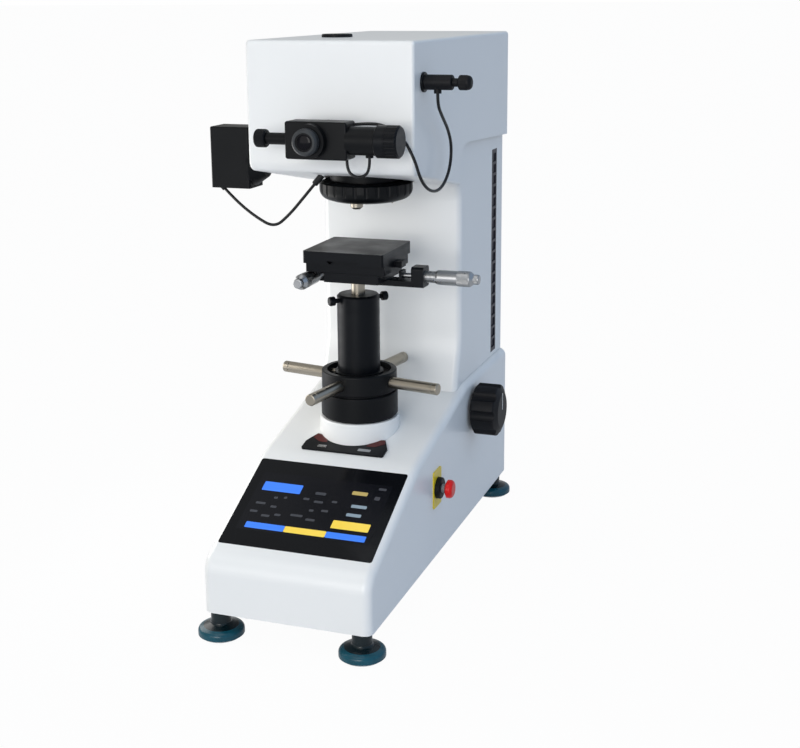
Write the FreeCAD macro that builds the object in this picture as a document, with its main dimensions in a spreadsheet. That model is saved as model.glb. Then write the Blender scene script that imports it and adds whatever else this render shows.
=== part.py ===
"""Bench micro hardness tester with a motor loading head, a screw-lifted X-Y stage and an objective turret.

The machine stands on the plane z = 0, its width runs along X, its depth along Y with the operator in
front at low y, and its height along Z. Lengths are in millimetres and angles in degrees. Each outline
is drawn in machine coordinates, measured from the floor, the front of the base and the middle plane.
"""

import FreeCAD, Part
import math
import os

import Sketcher
from FreeCAD import Placement, Rotation, Vector

# Driving sizes, one named value each.
DRIVING = {
    # Base housing
    "base_width": 214, "base_length": 590, "base_lift": 33, "nose_height": 100, "nose_round": 26,
    "slope_depth": 170, "slope_height": 179.5, "slope_round": 120, "deck_depth": 385,
    "deck_rise": 49.5, "deck_round": 60, "base_wall": 4, "base_edge_round": 11, "plate_thick": 3,
    # Test axis, column and head
    "axis_depth": 252, "throat": 128, "column_width": 198, "column_wall": 6, "column_flare": 24,
    "column_flare_height": 58, "column_sink": 14, "arm_level": 563,
    "arm_thick": 16, "rib_height": 62, "rib_thick": 8,
    "head_width": 214, "head_overhang": 88, "head_top": 700, "chin_height": 551, "chin_drop": 14,
    "chin_round": 13, "underside_rear": 508.5, "underside_length": 174, "skirt_rear": 553,
    "skirt_front": 563, "skirt_round": 34, "head_wall": 3, "head_edge_round": 4, "head_top_round": 6,
    # Screen and trim on the sloping front
    "screen_width": 197, "screen_length": 146, "screen_thick": 2, "screen_recess": 2,
    "screen_start": 30, "screen_round": 3, "module_border": 9, "module_thick": 14, "seat_gap": 0.3,
    "trim_width": 112, "trim_length": 40, "trim_thick": 2.5, "trim_start": 15, "trim_end": 30,
    # Lift: boss, guide, handwheel and column
    "boss_radius": 52, "boss_rise": 37, "guide_wall": 5, "guide_flange": 50, "guide_foot": 8,
    "lift_radius": 27.5, "lift_length": 238, "lift_top": 378, "lift_wall": 7, "lift_chamfer": 2.5,
    "lift_cap": 46, "running_gap": 0.05, "parting": 0.3,
    "wheel_radius": 50, "skirt_height": 33, "groove_width": 2.5, "groove_depth": 4,
    "hub_height": 26, "hub_inset": 1, "hub_recess": 8, "spoke_radius": 7.5, "spoke_reach": 117,
    "spoke_root": 33, "spoke_turn": -10.5, "spoke_count": 4,
    "clamp_radius": 3, "clamp_reach": 41, "clamp_knob_radius": 6, "clamp_knob_length": 8,
    "clamp_drop": 7,
    # Stage
    "spigot_radius": 8.75, "spigot_depth": 40, "spigot_flange": 28, "spigot_flange_thick": 4,
    "stage_bottom": 400, "stage_size": 107, "stage_layer": 12, "stage_plate": 15.4,
    "base_left": 28.5, "base_right": 44, "stage_depth": 90,
    "rail_height": 4, "rail_foot": 34, "rail_head": 42, "slide_travel": 12.5,
    "barrel_radius": 7.5, "barrel_length": 39, "thimble_radius": 9.5, "thimble_length": 49,
    "ratchet_radius": 6, "ratchet_length": 7, "spindle_radius": 3.25,
    "x_screw_height": 405.5, "x_collar": 76, "collar_length": 16, "collar_height": 26,
    "collar_width": 24, "anvil_thick": 4, "anvil_reach": 9, "bracket_thick": 7,
    "y_screw_height": 402, "y_screw_side": 51.5, "y_collar_depth": 246,
    # Turret and head optics
    "turret_radius": 60, "turret_top": 521, "turret_bottom": 495, "turret_offset": 34,
    "turret_foot": 44, "turret_round": 13, "turret_rim_drop": 3, "turret_neck": 54, "flute_radius": 3.5,
    "flute_count": 26, "flute_inset": 1.5, "pivot_radius": 8, "objective_radius": 8, "objective_tip": 487.5,
    "mount_radius": 46, "spindle_bore": 9, "turret_clearance": 2, "sight_inside": 30,
    "sight_height": 588, "sight_tube": 14, "sight_flange": 19.5, "sight_flange_thick": 3,
    "block_left": 33, "block_right": 44, "block_front": 56, "block_rear": 28, "block_height": 44,
    "block_round": 3, "ocular_radius": 20, "ocular_length": 10, "ocular_bore": 11,
    "diopter_radius": 15.5, "diopter_length": 11, "barrel_drum_radius": 16.5,
    "barrel_drum_length": 33, "drum_radius": 19, "drum_length": 28, "drum_pin": 6,
    "drum_ribs": 24, "stem_radius": 7, "stem_length": 28, "knob_radius": 10.5, "knob_length": 14,
    # Lamp house, plug and cap
    "lamp_width": 54, "lamp_depth": 40, "lamp_height": 77, "lamp_bottom": 515, "lamp_front": 200,
    "lamp_round": 3, "nose_length": 16.5, "nose_base": 24, "nose_tip": 13, "nose_level": 541,
    "screw_radius": 3, "screw_knob": 5, "screw_length": 6,
    "plug_height": 651, "plug_depth": 198, "plug_radius": 9, "plug_length": 34, "socket_radius": 12,
    "socket_thick": 3, "plug_neck": 5, "neck_length": 6, "grip_radius": 8.5, "grip_length": 17,
    "gland_radius": 4.5, "plug_gland_reach": 15, "plug_gland_drop": 13, "lamp_gland_radius": 3.5,
    "lamp_gland_length": 10, "hood_gland_length": 18,
    "drum_gland_reach": 23, "drum_gland_drop": 19, "cord_radius": 1.9, "drum_cord_radius": 1.75,
    "port_radius": 19.5, "port_thick": 4, "port_side": -37, "port_depth": 287,
    # Controls on the base
    "selector_depth": 418, "selector_height": 185, "selector_radius": 36, "selector_length": 38,
    "selector_gap": 4, "selector_lobes": 8, "lobe_radius": 9, "shaft_radius": 6, "cam_radius": 24,
    "stop_depth": 248, "stop_height": 127, "stop_plate_width": 32, "stop_plate_height": 50,
    "stop_plate_thick": 1.5, "stop_collar": 14, "stop_collar_length": 8, "stop_stem": 6,
    "stop_radius": 12, "stop_length": 11, "stop_travel": 4,
    # Feet
    "foot_radius": 28, "foot_pad": 24, "foot_pad_height": 3, "foot_neck": 12, "foot_side": 91,
    "foot_inset": 14, "stud_radius": 5, "stud_length": 11, "foot_boss": 9, "foot_boss_height": 8,
    # Rear of the machine and inside
    "vent_width": 26, "vent_height": 300, "vent_bottom": 235, "vent_inset": 30, "vent_thick": 3,
    "vent_slots": 18, "vent_border": 4, "vent_slot_depth": 2, "cover_thick": 2, "cover_bottom": 240, "cover_height": 312,
    "cover_lip": 8, "inlet_width": 48, "inlet_height": 28, "inlet_level": 90, "inlet_side": -52,
    "inlet_proud": 2, "inlet_deep": 22, "rocker_width": 13, "rocker_height": 19,
    "lever_level": 610, "lever_pivot": 222, "lever_front": 14, "lever_rear": 300,
    "lever_width": 20, "lever_height": 20, "weight_radius": 34, "weight_bottom": 300,
    "weight_height": 26, "weight_count": 4, "rod_radius": 4,
    "board_width": 130, "board_length": 90, "supply_width": 70, "supply_length": 90,
    "supply_height": 60,
}

DOC = FreeCAD.newDocument("hardness_tester")
SHEET = DOC.addObject("Spreadsheet::Sheet", "Sizes")
PARTS = {}
MARK = "@"


class Size:
    """A length, angle or count: its number, and the sheet formula that gives it."""

    def __init__(self, value, formula):
        self.value = float(value)
        self.formula = formula

    def __add__(self, other):
        return Size(self.value + number(other), f"({self.formula} + {text(other)})")

    def __radd__(self, other):
        return Size(number(other) + self.value, f"({text(other)} + {self.formula})")

    def __sub__(self, other):
        return Size(self.value - number(other), f"({self.formula} - {text(other)})")

    def __rsub__(self, other):
        return Size(number(other) - self.value, f"({text(other)} - {self.formula})")

    def __mul__(self, other):
        return Size(self.value * number(other), f"({self.formula} * {text(other)})")

    def __rmul__(self, other):
        return self * other

    def __truediv__(self, other):
        return Size(self.value / number(other), f"({self.formula} / {text(other)})")

    def __neg__(self):
        return Size(-self.value, f"(0 - {self.formula})")


def number(item):
    """The plain number of a size or a number."""
    return item.value if isinstance(item, Size) else float(item)


def text(item):
    """The sheet formula of a size, or a plain number as text."""
    return item.formula if isinstance(item, Size) else repr(float(item))


def bind(thing, path, size):
    """Ties one property of an object to the sheet."""
    if isinstance(size, Size):
        thing.setExpression(path, size.formula.replace(MARK, "Sizes."))


class Sheet:
    """Every size by its name, in the order in which the sheet holds them."""

    def __init__(self):
        self.row = 0

    def put(self, name, value, content):
        """Writes one named cell and keeps the size under that name."""
        self.row += 1
        SHEET.set(f"A{self.row}", name)
        SHEET.set(f"B{self.row}", content)
        SHEET.setAlias(f"B{self.row}", name)
        setattr(self, name, Size(value, MARK + name))

    def derive(self, name, size):
        """A named cell that is worked out from other cells."""
        self.put(name, size.value, "=" + size.formula.replace(MARK, ""))


S = Sheet()
for size_name, size_value in DRIVING.items():
    S.put(size_name, size_value, str(size_value))


def slope_angle(rise, run):
    """Angle of a slope in degrees from its rise and run."""
    return Size(math.degrees(math.atan2(rise.value, run.value)), f"atan({rise.formula} / {run.formula})")


def sine(size):
    """Sine of an angle in degrees."""
    return Size(math.sin(math.radians(size.value)), f"sin({size.formula})")


def cosine(size):
    """Cosine of an angle in degrees."""
    return Size(math.cos(math.radians(size.value)), f"cos({size.formula})")


# Places that several pieces share.
S.derive("deck_height", S.slope_height + S.deck_rise)
S.derive("boss_top", S.slope_height + S.boss_rise)
S.derive("column_front", S.axis_depth + S.throat)
S.derive("head_front", S.axis_depth - S.head_overhang)
S.derive("base_half", S.base_width / 2)
S.derive("column_half", S.column_width / 2)
S.derive("head_half", S.head_width / 2)
S.derive("panel_tilt", slope_angle(S.slope_height - S.nose_height, S.slope_depth * 1))
S.derive("deck_tilt", slope_angle(S.deck_height - S.slope_height, S.deck_depth - S.slope_depth))
S.derive("wheel_bottom", S.boss_top + S.parting)
S.derive("spoke_level", S.wheel_bottom + S.skirt_height + S.groove_width + S.hub_height / 2)
S.derive("lift_bottom", S.lift_top - S.lift_length)
S.derive("middle_bottom", S.stage_bottom + S.stage_layer + S.parting)
S.derive("plate_bottom", S.middle_bottom + S.stage_layer + S.parting)
S.derive("turret_depth", S.axis_depth + S.turret_offset)
S.derive("block_back", S.head_front - S.block_rear)
S.derive("block_face", S.head_front - S.block_front)
S.derive("drum_axis", (S.block_back + S.block_face) / 2)
S.derive("lamp_right", S.head_half + S.nose_length)
S.derive("lamp_left", S.lamp_right + S.lamp_width)
S.derive("lamp_middle", S.lamp_front + S.lamp_depth / 2)
S.derive("plug_start", S.head_half + S.socket_thick)
S.derive("plug_end", S.plug_start + S.plug_length + S.neck_length + S.grip_length)
S.derive("plate_top", S.base_lift + S.plate_thick)
S.derive("guide_radius", S.lift_radius + S.running_gap)

# The origin is under the middle of the whole machine, so everything is moved by this much.
S.derive("shift_x", (S.lamp_left + S.screw_length - S.plug_end) / 2)
S.derive("shift_y", S.base_length * -0.5)

UPRIGHT = Rotation()
ALONG_X = Rotation(Vector(0, 1, 0), 90)
ALONG_Y = Rotation(Vector(1, 0, 0), -90)
BACK_X = Rotation(Vector(0, 1, 0), -90)
BACK_Y = Rotation(Vector(1, 0, 0), 90)
TURNS = {"Z": UPRIGHT, "X": ALONG_X, "Y": ALONG_Y, "-X": BACK_X, "-Y": BACK_Y,
         "-Z": Rotation(Vector(1, 0, 0), 180)}


def put_at(thing, x, y, z, turn=UPRIGHT):
    """Places an object at a point that follows the sheet."""
    thing.Placement = Placement(Vector(number(x), number(y), number(z)), turn)
    for axis, size in (("x", x), ("y", y), ("z", z)):
        bind(thing, f"Placement.Base.{axis}", size)


def finish(name, thing, x=0, y=0, z=0, turn=UPRIGHT):
    """Gives a finished piece its label and its place in the machine, moved to the machine's origin."""
    put_at(thing, x + S.shift_x, y + S.shift_y, z, turn)
    thing.Label = name
    PARTS[name] = thing
    return thing


def new_body(name):
    """An empty body, which may hold several separate solids."""
    body = DOC.addObject("PartDesign::Body", name + "_body")
    body.AllowCompound = True
    return body


def new_sketch(body, plane, lift=0):
    """A sketch on one of the body's own origin planes, lifted off it by some distance."""
    sketch = body.newObject("Sketcher::SketchObject", body.Name + "_sketch")
    feature = [item for item in body.Origin.OriginFeatures if item.Role == plane + "_Plane"][0]
    sketch.AttachmentSupport = [(feature, "")]
    sketch.MapMode = "FlatFace"
    sketch.AttachmentOffset = Placement(Vector(0, 0, number(lift)), UPRIGHT)
    bind(sketch, "AttachmentOffset.Base.z", lift)
    return sketch


def hold_point(sketch, geometry, position, x, y):
    """Ties a point of a sketch to its two coordinates in the sheet."""
    for kind, size in (("DistanceX", x), ("DistanceY", y)):
        index = sketch.addConstraint(Sketcher.Constraint(kind, -1, 1, geometry, position, number(size)))
        if isinstance(size, Size):
            sketch.renameConstraint(index, f"place{index}")
            bind(sketch, f"Constraints.place{index}", size)


def hold_radius(sketch, geometry, radius):
    """Ties the radius of an arc or circle to the sheet."""
    index = sketch.addConstraint(Sketcher.Constraint("Radius", geometry, number(radius)))
    if isinstance(radius, Size):
        sketch.renameConstraint(index, f"round{index}")
        bind(sketch, f"Constraints.round{index}", radius)


def corner_arc(before, at, after, radius):
    """Where a round of this radius touches the two sides of a corner, and the centre of its arc."""
    one = (before - at).normalize()
    two = (after - at).normalize()
    half = one.getAngle(two) / 2
    reach = radius / math.tan(half)
    middle = (one + two).normalize()
    return at + one * reach, at + two * reach, at + middle * (radius / math.sin(half))


def draw_outline(sketch, corners):
    """A closed outline through its corners: (across, up), or (across, up, radius) for a rounded one."""
    points = [Vector(number(c[0]), number(c[1]), 0) for c in corners]
    count = len(corners)
    leaving, reaching, arcs = {}, {}, {}
    for i, corner in enumerate(corners):
        leaving[i] = reaching[i] = points[i]
        if len(corner) == 3:
            arcs[i] = corner_arc(points[i - 1], points[i], points[(i + 1) % count], number(corner[2]))
            reaching[i], leaving[i] = arcs[i][0], arcs[i][1]
    lines = [sketch.addGeometry(Part.LineSegment(leaving[i], reaching[(i + 1) % count]), False)
             for i in range(count)]
    for i, corner in enumerate(corners):
        before, after = lines[i - 1], lines[i]
        if i not in arcs:
            sketch.addConstraint(Sketcher.Constraint("Coincident", before, 2, after, 1))
            hold_point(sketch, after, 1, corner[0], corner[1])
            continue
        first, last, centre = arcs[i]
        start = math.atan2(first.y - centre.y, first.x - centre.x)
        end = math.atan2(last.y - centre.y, last.x - centre.x)
        forward = (end - start) % (2 * math.pi) < math.pi
        circle = Part.Circle(centre, Vector(0, 0, 1), number(corner[2]))
        span = (start, end) if forward else (end, start)
        arc = sketch.addGeometry(Part.ArcOfCircle(circle, *span), False)
        mark = sketch.addGeometry(Part.Point(points[i]), True)
        near, far = (1, 2) if forward else (2, 1)
        sketch.addConstraint(Sketcher.Constraint("Tangent", before, 2, arc, near))
        sketch.addConstraint(Sketcher.Constraint("Tangent", after, 1, arc, far))
        sketch.addConstraint(Sketcher.Constraint("PointOnObject", mark, 1, before))
        sketch.addConstraint(Sketcher.Constraint("PointOnObject", mark, 1, after))
        hold_point(sketch, mark, 1, corner[0], corner[1])
        hold_radius(sketch, arc, corner[2])


def draw_circle(sketch, x, y, radius):
    """A circle held by its centre and radius."""
    circle = Part.Circle(Vector(number(x), number(y), 0), Vector(0, 0, 1), number(radius))
    geometry = sketch.addGeometry(circle, False)
    hold_point(sketch, geometry, 3, x, y)
    hold_radius(sketch, geometry, radius)


def rectangle(x0, y0, x1, y1, radius=None):
    """The four corners of a rectangle, all rounded alike if a radius is given."""
    corners = [(x0, y0), (x1, y0), (x1, y1), (x0, y1)]
    return corners if radius is None else [corner + (radius,) for corner in corners]


def pad(body, sketch, length, middle=False, reverse=False):
    """Raises a sketch into a solid, to one side of its plane or to both."""
    feature = body.newObject("PartDesign::Pad", body.Name + "_pad")
    feature.Profile = sketch
    feature.Length = number(length)
    bind(feature, "Length", length)
    feature.Midplane = middle
    feature.Reversed = reverse
    return feature


def pocket(body, sketch, length=None, middle=False, reverse=False):
    """Cuts a sketch out of the solid, to a depth or right through."""
    feature = body.newObject("PartDesign::Pocket", body.Name + "_pocket")
    feature.Profile = sketch
    if length is None:
        feature.Type = "ThroughAll"
    else:
        feature.Length = number(length)
        bind(feature, "Length", length)
    feature.Midplane = middle
    feature.Reversed = reverse
    return feature


def revolve(body, sketch, axis="V_Axis"):
    """Turns a half outline about the sketch's upright or level axis."""
    feature = body.newObject("PartDesign::Revolution", body.Name + "_turned")
    feature.Profile = sketch
    feature.ReferenceAxis = (sketch, [axis])
    feature.Angle = 360
    return feature


def ring_pattern(body, features, count, plane_axis="Z_Axis"):
    """Repeats features evenly round one of the body's own axes."""
    axis = [item for item in body.Origin.OriginFeatures if item.Role == plane_axis][0]
    pattern = body.newObject("PartDesign::PolarPattern", body.Name + "_ring")
    pattern.Originals = features
    pattern.Axis = (axis, [""])
    pattern.Angle = 360
    pattern.Occurrences = int(number(count))
    bind(pattern, "Occurrences", count)
    body.Tip = pattern
    return pattern


def row_pattern(body, features, axis_name, length, count):
    """Repeats features evenly along one of the body's own axes."""
    axis = [item for item in body.Origin.OriginFeatures if item.Role == axis_name][0]
    pattern = body.newObject("PartDesign::LinearPattern", body.Name + "_row")
    pattern.Originals = features
    pattern.Direction = (axis, [""])
    pattern.Length = number(length)
    bind(pattern, "Length", length)
    pattern.Occurrences = int(number(count))
    bind(pattern, "Occurrences", count)
    body.Tip = pattern
    return pattern


def turned(name, corners):
    """A turned piece from its half outline, given as (radius, height) corners."""
    body = new_body(name)
    sketch = new_sketch(body, "XZ")
    draw_outline(sketch, corners)
    revolve(body, sketch)
    return body


def block(name, outline, plane, length, lift=0, middle=False, reverse=False):
    """A straight piece from its outline."""
    body = new_body(name)
    sketch = new_sketch(body, plane, lift)
    draw_outline(sketch, outline)
    pad(body, sketch, length, middle, reverse)
    return body


def box(name, x0, y0, z0, x1, y1, z1):
    """A plain rectangular solid between two corners."""
    solid = DOC.addObject("Part::Box", name)
    for path, low, high in (("Length", x0, x1), ("Width", y0, y1), ("Height", z0, z1)):
        span = high - low
        setattr(solid, path, number(span))
        bind(solid, path, span)
    put_at(solid, x0, y0, z0)
    return solid


def rod(name, radius, length, x, y, z, axis="Z"):
    """A plain round bar from a point along an axis."""
    solid = DOC.addObject("Part::Cylinder", name)
    solid.Radius = number(radius)
    solid.Height = number(length)
    bind(solid, "Radius", radius)
    bind(solid, "Height", length)
    put_at(solid, x, y, z, TURNS[axis])
    return solid


def cut(name, base, *tools):
    """Takes the tools away from a solid."""
    tool = tools[0] if len(tools) == 1 else fuse(name + "_tools", *tools)
    feature = DOC.addObject("Part::Cut", name)
    feature.Base = base
    feature.Tool = tool
    return feature


def fuse(name, *solids):
    """Joins solids into one."""
    feature = DOC.addObject("Part::MultiFuse", name)
    feature.Shapes = list(solids)
    feature.Refine = True
    return feature


def soften(body, radius, chosen):
    """Rounds the edges of a body for which the test says yes."""
    DOC.recompute()
    base = body.Tip
    names = [f"Edge{i + 1}" for i, edge in enumerate(base.Shape.Edges) if chosen(edge)]
    feature = body.newObject("PartDesign::Fillet", body.Name + "_round")
    feature.Base = (base, names)
    feature.Radius = number(radius)
    bind(feature, "Radius", radius)
    return feature


def hollow(body, wall, chosen):
    """Leaves only a wall of the body and opens the faces for which the test says yes."""
    DOC.recompute()
    base = body.Tip
    names = [f"Face{i + 1}" for i, face in enumerate(base.Shape.Faces) if chosen(face)]
    feature = body.newObject("PartDesign::Thickness", body.Name + "_wall")
    feature.Base = (base, names)
    feature.Value = number(wall)
    bind(feature, "Value", wall)
    feature.Reversed = True
    return feature


def near(value, target, slack=0.05):
    """Whether a measure is at a size."""
    return abs(value - number(target)) < slack


# Base housing, base plate and what is fixed on them.


def base_outline():
    """Side outline of the base: nose, sloping control panel, deck and rear."""
    return [
        (0, S.base_lift),
        (0, S.nose_height, S.nose_round),
        (S.slope_depth, S.slope_height, S.slope_round),
        (S.deck_depth, S.deck_height, S.deck_round),
        (S.base_length, S.deck_height),
        (S.base_length, S.base_lift),
    ]


def on_slope(thing, name, along, raise_by):
    """Lays a piece drawn flat on the sloping control panel, some way up the slope."""
    y = along * cosine(S.panel_tilt) - raise_by * sine(S.panel_tilt)
    z = S.nose_height + along * sine(S.panel_tilt) + raise_by * cosine(S.panel_tilt)
    lay(thing, name, y, z, S.panel_tilt)


def lay(thing, name, y, z, tilt):
    """Tilts a flat piece about X and sets it down; a piece without a name is only a cutter."""
    thing.Placement = Placement(Vector(0, 0, 0), Rotation(Vector(1, 0, 0), number(tilt)))
    bind(thing, "Placement.Rotation.Angle", tilt)
    x = 0 * S.shift_x if name is None else S.shift_x
    y = y if name is None else y + S.shift_y
    for axis, size in (("x", x), ("y", y), ("z", z)):
        setattr(thing.Placement.Base, axis, number(size))
        bind(thing, f"Placement.Base.{axis}", size)
    if name is not None:
        thing.Label = name
        PARTS[name] = thing


def make_base_shell():
    """Cast housing of the base, open below, with its cut-outs."""
    body = block("base_form", base_outline(), "YZ", S.base_width, middle=True)
    hollow(body, S.base_wall, lambda face: near(face.BoundBox.ZMax, S.base_lift))
    soften(body, S.base_edge_round, lambda edge: near(edge.BoundBox.XLength, 0)
           and near(abs(edge.BoundBox.XMin), S.base_half)
           and edge.BoundBox.ZMax > number(S.base_lift) + 1
           and edge.BoundBox.YMin < number(S.base_length) - 1)
    recess = block("screen_recess", screen_outline(S.seat_gap), "XY", S.screen_recess * 4)
    on_slope(recess, None, S.screen_start + 0, -S.screen_recess)
    window = block("screen_window", module_outline(S.seat_gap), "XY", S.base_wall * 4, middle=True)
    on_slope(window, None, S.screen_start + 0, 0 * S.screen_recess)
    well = rod("lift_well", S.guide_radius + S.guide_wall + S.seat_gap, S.deck_height,
               0, S.axis_depth, S.base_lift)
    shaft = rod("shaft_hole", S.shaft_radius + S.running_gap, S.base_wall * 4,
                S.base_half - S.base_wall * 2, S.selector_depth, S.selector_height, "X")
    stop = rod("stop_hole", S.stop_stem + S.running_gap, S.base_wall * 4,
               S.base_half - S.base_wall * 2, S.stop_depth, S.stop_height, "X")
    inlet = box("inlet_hole", S.inlet_side - S.inlet_width / 2 + 2, S.base_length - S.base_wall * 2,
                S.inlet_level - S.inlet_height / 2 + 2, S.inlet_side + S.inlet_width / 2 - 2,
                S.base_length + S.base_wall, S.inlet_level + S.inlet_height / 2 - 2)
    finish("base_shell", cut("base_shell_cut", body, recess, window, well, shaft, stop, inlet))


def screen_outline(grow):
    """Outline of the touch panel, grown by a seat gap all round."""
    half = S.screen_width / 2 + grow
    return rectangle(-half, -grow * 1, half, S.screen_length + grow, S.screen_round)


def module_outline(grow):
    """Outline of the display module behind the touch panel."""
    half = S.screen_width / 2 - S.module_border + grow
    return rectangle(-half, S.module_border - grow, half, S.screen_length - S.module_border + grow)


def make_screen():
    """Black touch panel in its shallow recess, and the display module behind it."""
    glass = block("touch_panel", screen_outline(0 * S.seat_gap), "XY", S.screen_thick)
    on_slope(glass, "touch_panel", S.screen_start, -S.screen_recess)
    module = block("display_module", module_outline(0 * S.seat_gap), "XY", S.module_thick)
    on_slope(module, "display_module", S.screen_start, -S.screen_recess - S.module_thick)


def make_base_plate():
    """Bottom plate inside the housing, with a threaded boss over each foot."""
    inner = S.base_half - S.base_wall
    plate = box("bottom_sheet", -inner, S.base_wall, S.base_lift, inner,
                S.base_length - S.base_wall, S.plate_top)
    bosses, holes = [], []
    for spot, (x, y) in foot_places().items():
        bosses.append(rod(f"boss_{spot}", S.foot_boss, S.foot_boss_height, x, y, S.plate_top))
        holes.append(rod(f"hole_{spot}", S.stud_radius + S.running_gap,
                         S.foot_boss_height + S.plate_thick + 2, x, y, S.base_lift - 1))
    finish("base_plate", cut("base_plate_cut", fuse("plate_and_bosses", plate, *bosses), *holes))


def foot_places():
    """Where the four feet stand."""
    rear = S.base_length - S.foot_inset
    return {
        "front_left": (-S.foot_side, S.foot_inset),
        "front_right": (S.foot_side, S.foot_inset),
        "rear_left": (-S.foot_side, rear),
        "rear_right": (S.foot_side, rear),
    }


def make_feet():
    """Four levelling feet: a domed disc on a rubber ring, with a threaded stud."""
    pad, top = S.foot_pad_height, S.base_lift - S.parting
    for spot, (x, y) in foot_places().items():
        outline = [
            (0, 0), (S.foot_pad, 0), (S.foot_pad, pad), (S.foot_radius, pad),
            (S.foot_radius, pad + 8, 5), (S.foot_neck, pad + 14, 3), (S.foot_neck, top),
            (S.stud_radius, top), (S.stud_radius, top + S.stud_length), (0, top + S.stud_length),
        ]
        finish(f"foot_{spot}", turned(f"foot_{spot}", outline), x, y, 0)


def make_boss():
    """White collar round the lift, seated on the sloping deck, and the guide tube inside it."""
    outer = S.boss_radius
    inner = S.guide_radius + S.guide_wall + S.seat_gap
    low = S.slope_height - 20
    collar = turned("boss_collar", [(inner, low), (outer, low), (outer, S.boss_top, 2),
                                    (inner, S.boss_top)])
    put_at(collar, 0, S.axis_depth, 0)
    form = block("deck_form", base_outline(), "YZ", S.base_width, middle=True)
    put_at(form, 0, 0, S.parting)
    finish("boss_ring", cut("boss_ring_cut", collar, form))
    tube = S.guide_radius + S.guide_wall
    guide = turned("lift_guide", [
        (S.guide_radius, S.plate_top), (S.guide_flange, S.plate_top),
        (S.guide_flange, S.plate_top + S.guide_foot), (tube, S.plate_top + S.guide_foot, 6),
        (tube, S.boss_top - 1), (S.guide_radius, S.boss_top - 1),
    ])
    finish("lift_guide", guide, 0, S.axis_depth, 0)


def make_trim_plate():
    """Bow-shaped trim plate in front of the collar: two broad ends joined by a narrow middle."""
    half = S.trim_width / 2
    slant = S.trim_end / 3
    plate = block("trim_form", [
        (-half, 0, 3), (half, 0, 3), (half, S.trim_length * 0.45, 3),
        (half - slant, S.trim_length, 4), (half - S.trim_end, S.trim_length * 0.6, 3),
        (S.trim_end - half, S.trim_length * 0.6, 3), (slant - half, S.trim_length, 4),
        (-half, S.trim_length * 0.45, 3),
    ], "XY", S.trim_thick)
    run = S.trim_start + 0
    lay(plate, None, S.slope_depth + run * cosine(S.deck_tilt), S.slope_height + run * sine(S.deck_tilt),
        S.deck_tilt)
    hole = rod("trim_arc", S.boss_radius + S.parting, S.deck_height, 0, S.axis_depth, 0)
    finish("trim_plate", cut("trim_plate_cut", plate, hole))


# Column, head arm and covers.


def column_outline():
    """Side outline of the column, flared forward at its foot and under the head."""
    front = S.column_front
    low = S.deck_height - S.column_sink
    mouth = S.head_front + S.chin_drop + S.underside_length
    return [
        (front - S.column_flare, low), (front, S.deck_height + S.column_flare_height, 90),
        (front, S.underside_rear + 1, 26), (mouth, S.underside_rear), (mouth, S.arm_level),
        (S.base_length, S.arm_level), (S.base_length, low),
    ]


def make_column():
    """Hollow column casting, open at the rear and on top, with a slot for each side vent."""
    body = block("column_form", column_outline(), "YZ", S.column_width, middle=True)
    wall = S.column_wall
    soften(body, 8, lambda edge: near(edge.BoundBox.XLength, 0)
           and near(abs(edge.BoundBox.XMin), S.column_half)
           and edge.BoundBox.YMax < number(S.column_front) + 1
           and edge.BoundBox.ZMax < number(S.underside_rear) + 2
           and edge.BoundBox.ZMax - edge.BoundBox.ZMin > 1)
    inside = box("column_inside", wall - S.column_half, S.column_front + wall, S.deck_height - 20,
                 S.column_half - wall, S.base_length + 1, S.arm_level + 1)
    rear = S.base_length - S.vent_inset
    slots = box("vent_slots_cut", -S.base_half, rear - S.vent_width, S.vent_bottom, S.base_half, rear,
                S.vent_bottom + S.vent_height)
    seat = block("column_seat", base_outline(), "YZ", S.base_width, middle=True)
    put_at(seat, 0, 0, S.parting)
    step = box("column_step", -S.base_half, S.base_length - S.head_wall - S.parting,
               S.skirt_rear - S.parting, S.base_half, S.base_length + 1, S.arm_level + 1)
    finish("column_frame", cut("column_frame_cut", body, inside, slots, seat, step))


def make_side_vents():
    """Dark louvred strip in each side of the column, near its rear edge."""
    rear = S.base_length - S.vent_inset
    strips = []
    for side, start in (("left", -S.column_half), ("right", S.column_half - S.vent_thick)):
        body = new_body(f"vent_{side}")
        frame = new_sketch(body, "YZ", start)
        draw_outline(frame, rectangle(rear - S.vent_width, S.vent_bottom, rear,
                                      S.vent_bottom + S.vent_height))
        pad(body, frame, S.vent_thick)
        pitch = (S.vent_height - S.vent_border * 2) / S.vent_slots
        slot = new_sketch(body, "YZ", start if side == "left" else S.column_half - S.vent_slot_depth)
        draw_outline(slot, rectangle(rear - S.vent_width + S.vent_border,
                                     S.vent_bottom + S.vent_border + 2, rear - S.vent_border,
                                     S.vent_bottom + S.vent_border + pitch - 2))
        hole = pocket(body, slot, S.vent_slot_depth, reverse=True)
        row_pattern(body, [hole], "Z_Axis", pitch * (S.vent_slots - 1), S.vent_slots)
        strips.append(body)
    finish("side_vents", fuse("side_vents_pair", *strips))


def head_outline():
    """Side outline of the head cover: chin, sloping underside and the rear skirt over the column."""
    front = S.head_front
    mouth = front + S.chin_drop + S.underside_length
    return [
        (front, S.chin_height - S.chin_drop / 2, S.chin_round),
        (mouth, S.underside_rear), (mouth, S.skirt_front, S.skirt_round),
        (S.base_length, S.skirt_rear), (S.base_length, S.head_top, S.head_top_round),
        (front, S.head_top, S.head_top_round),
    ]


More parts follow.
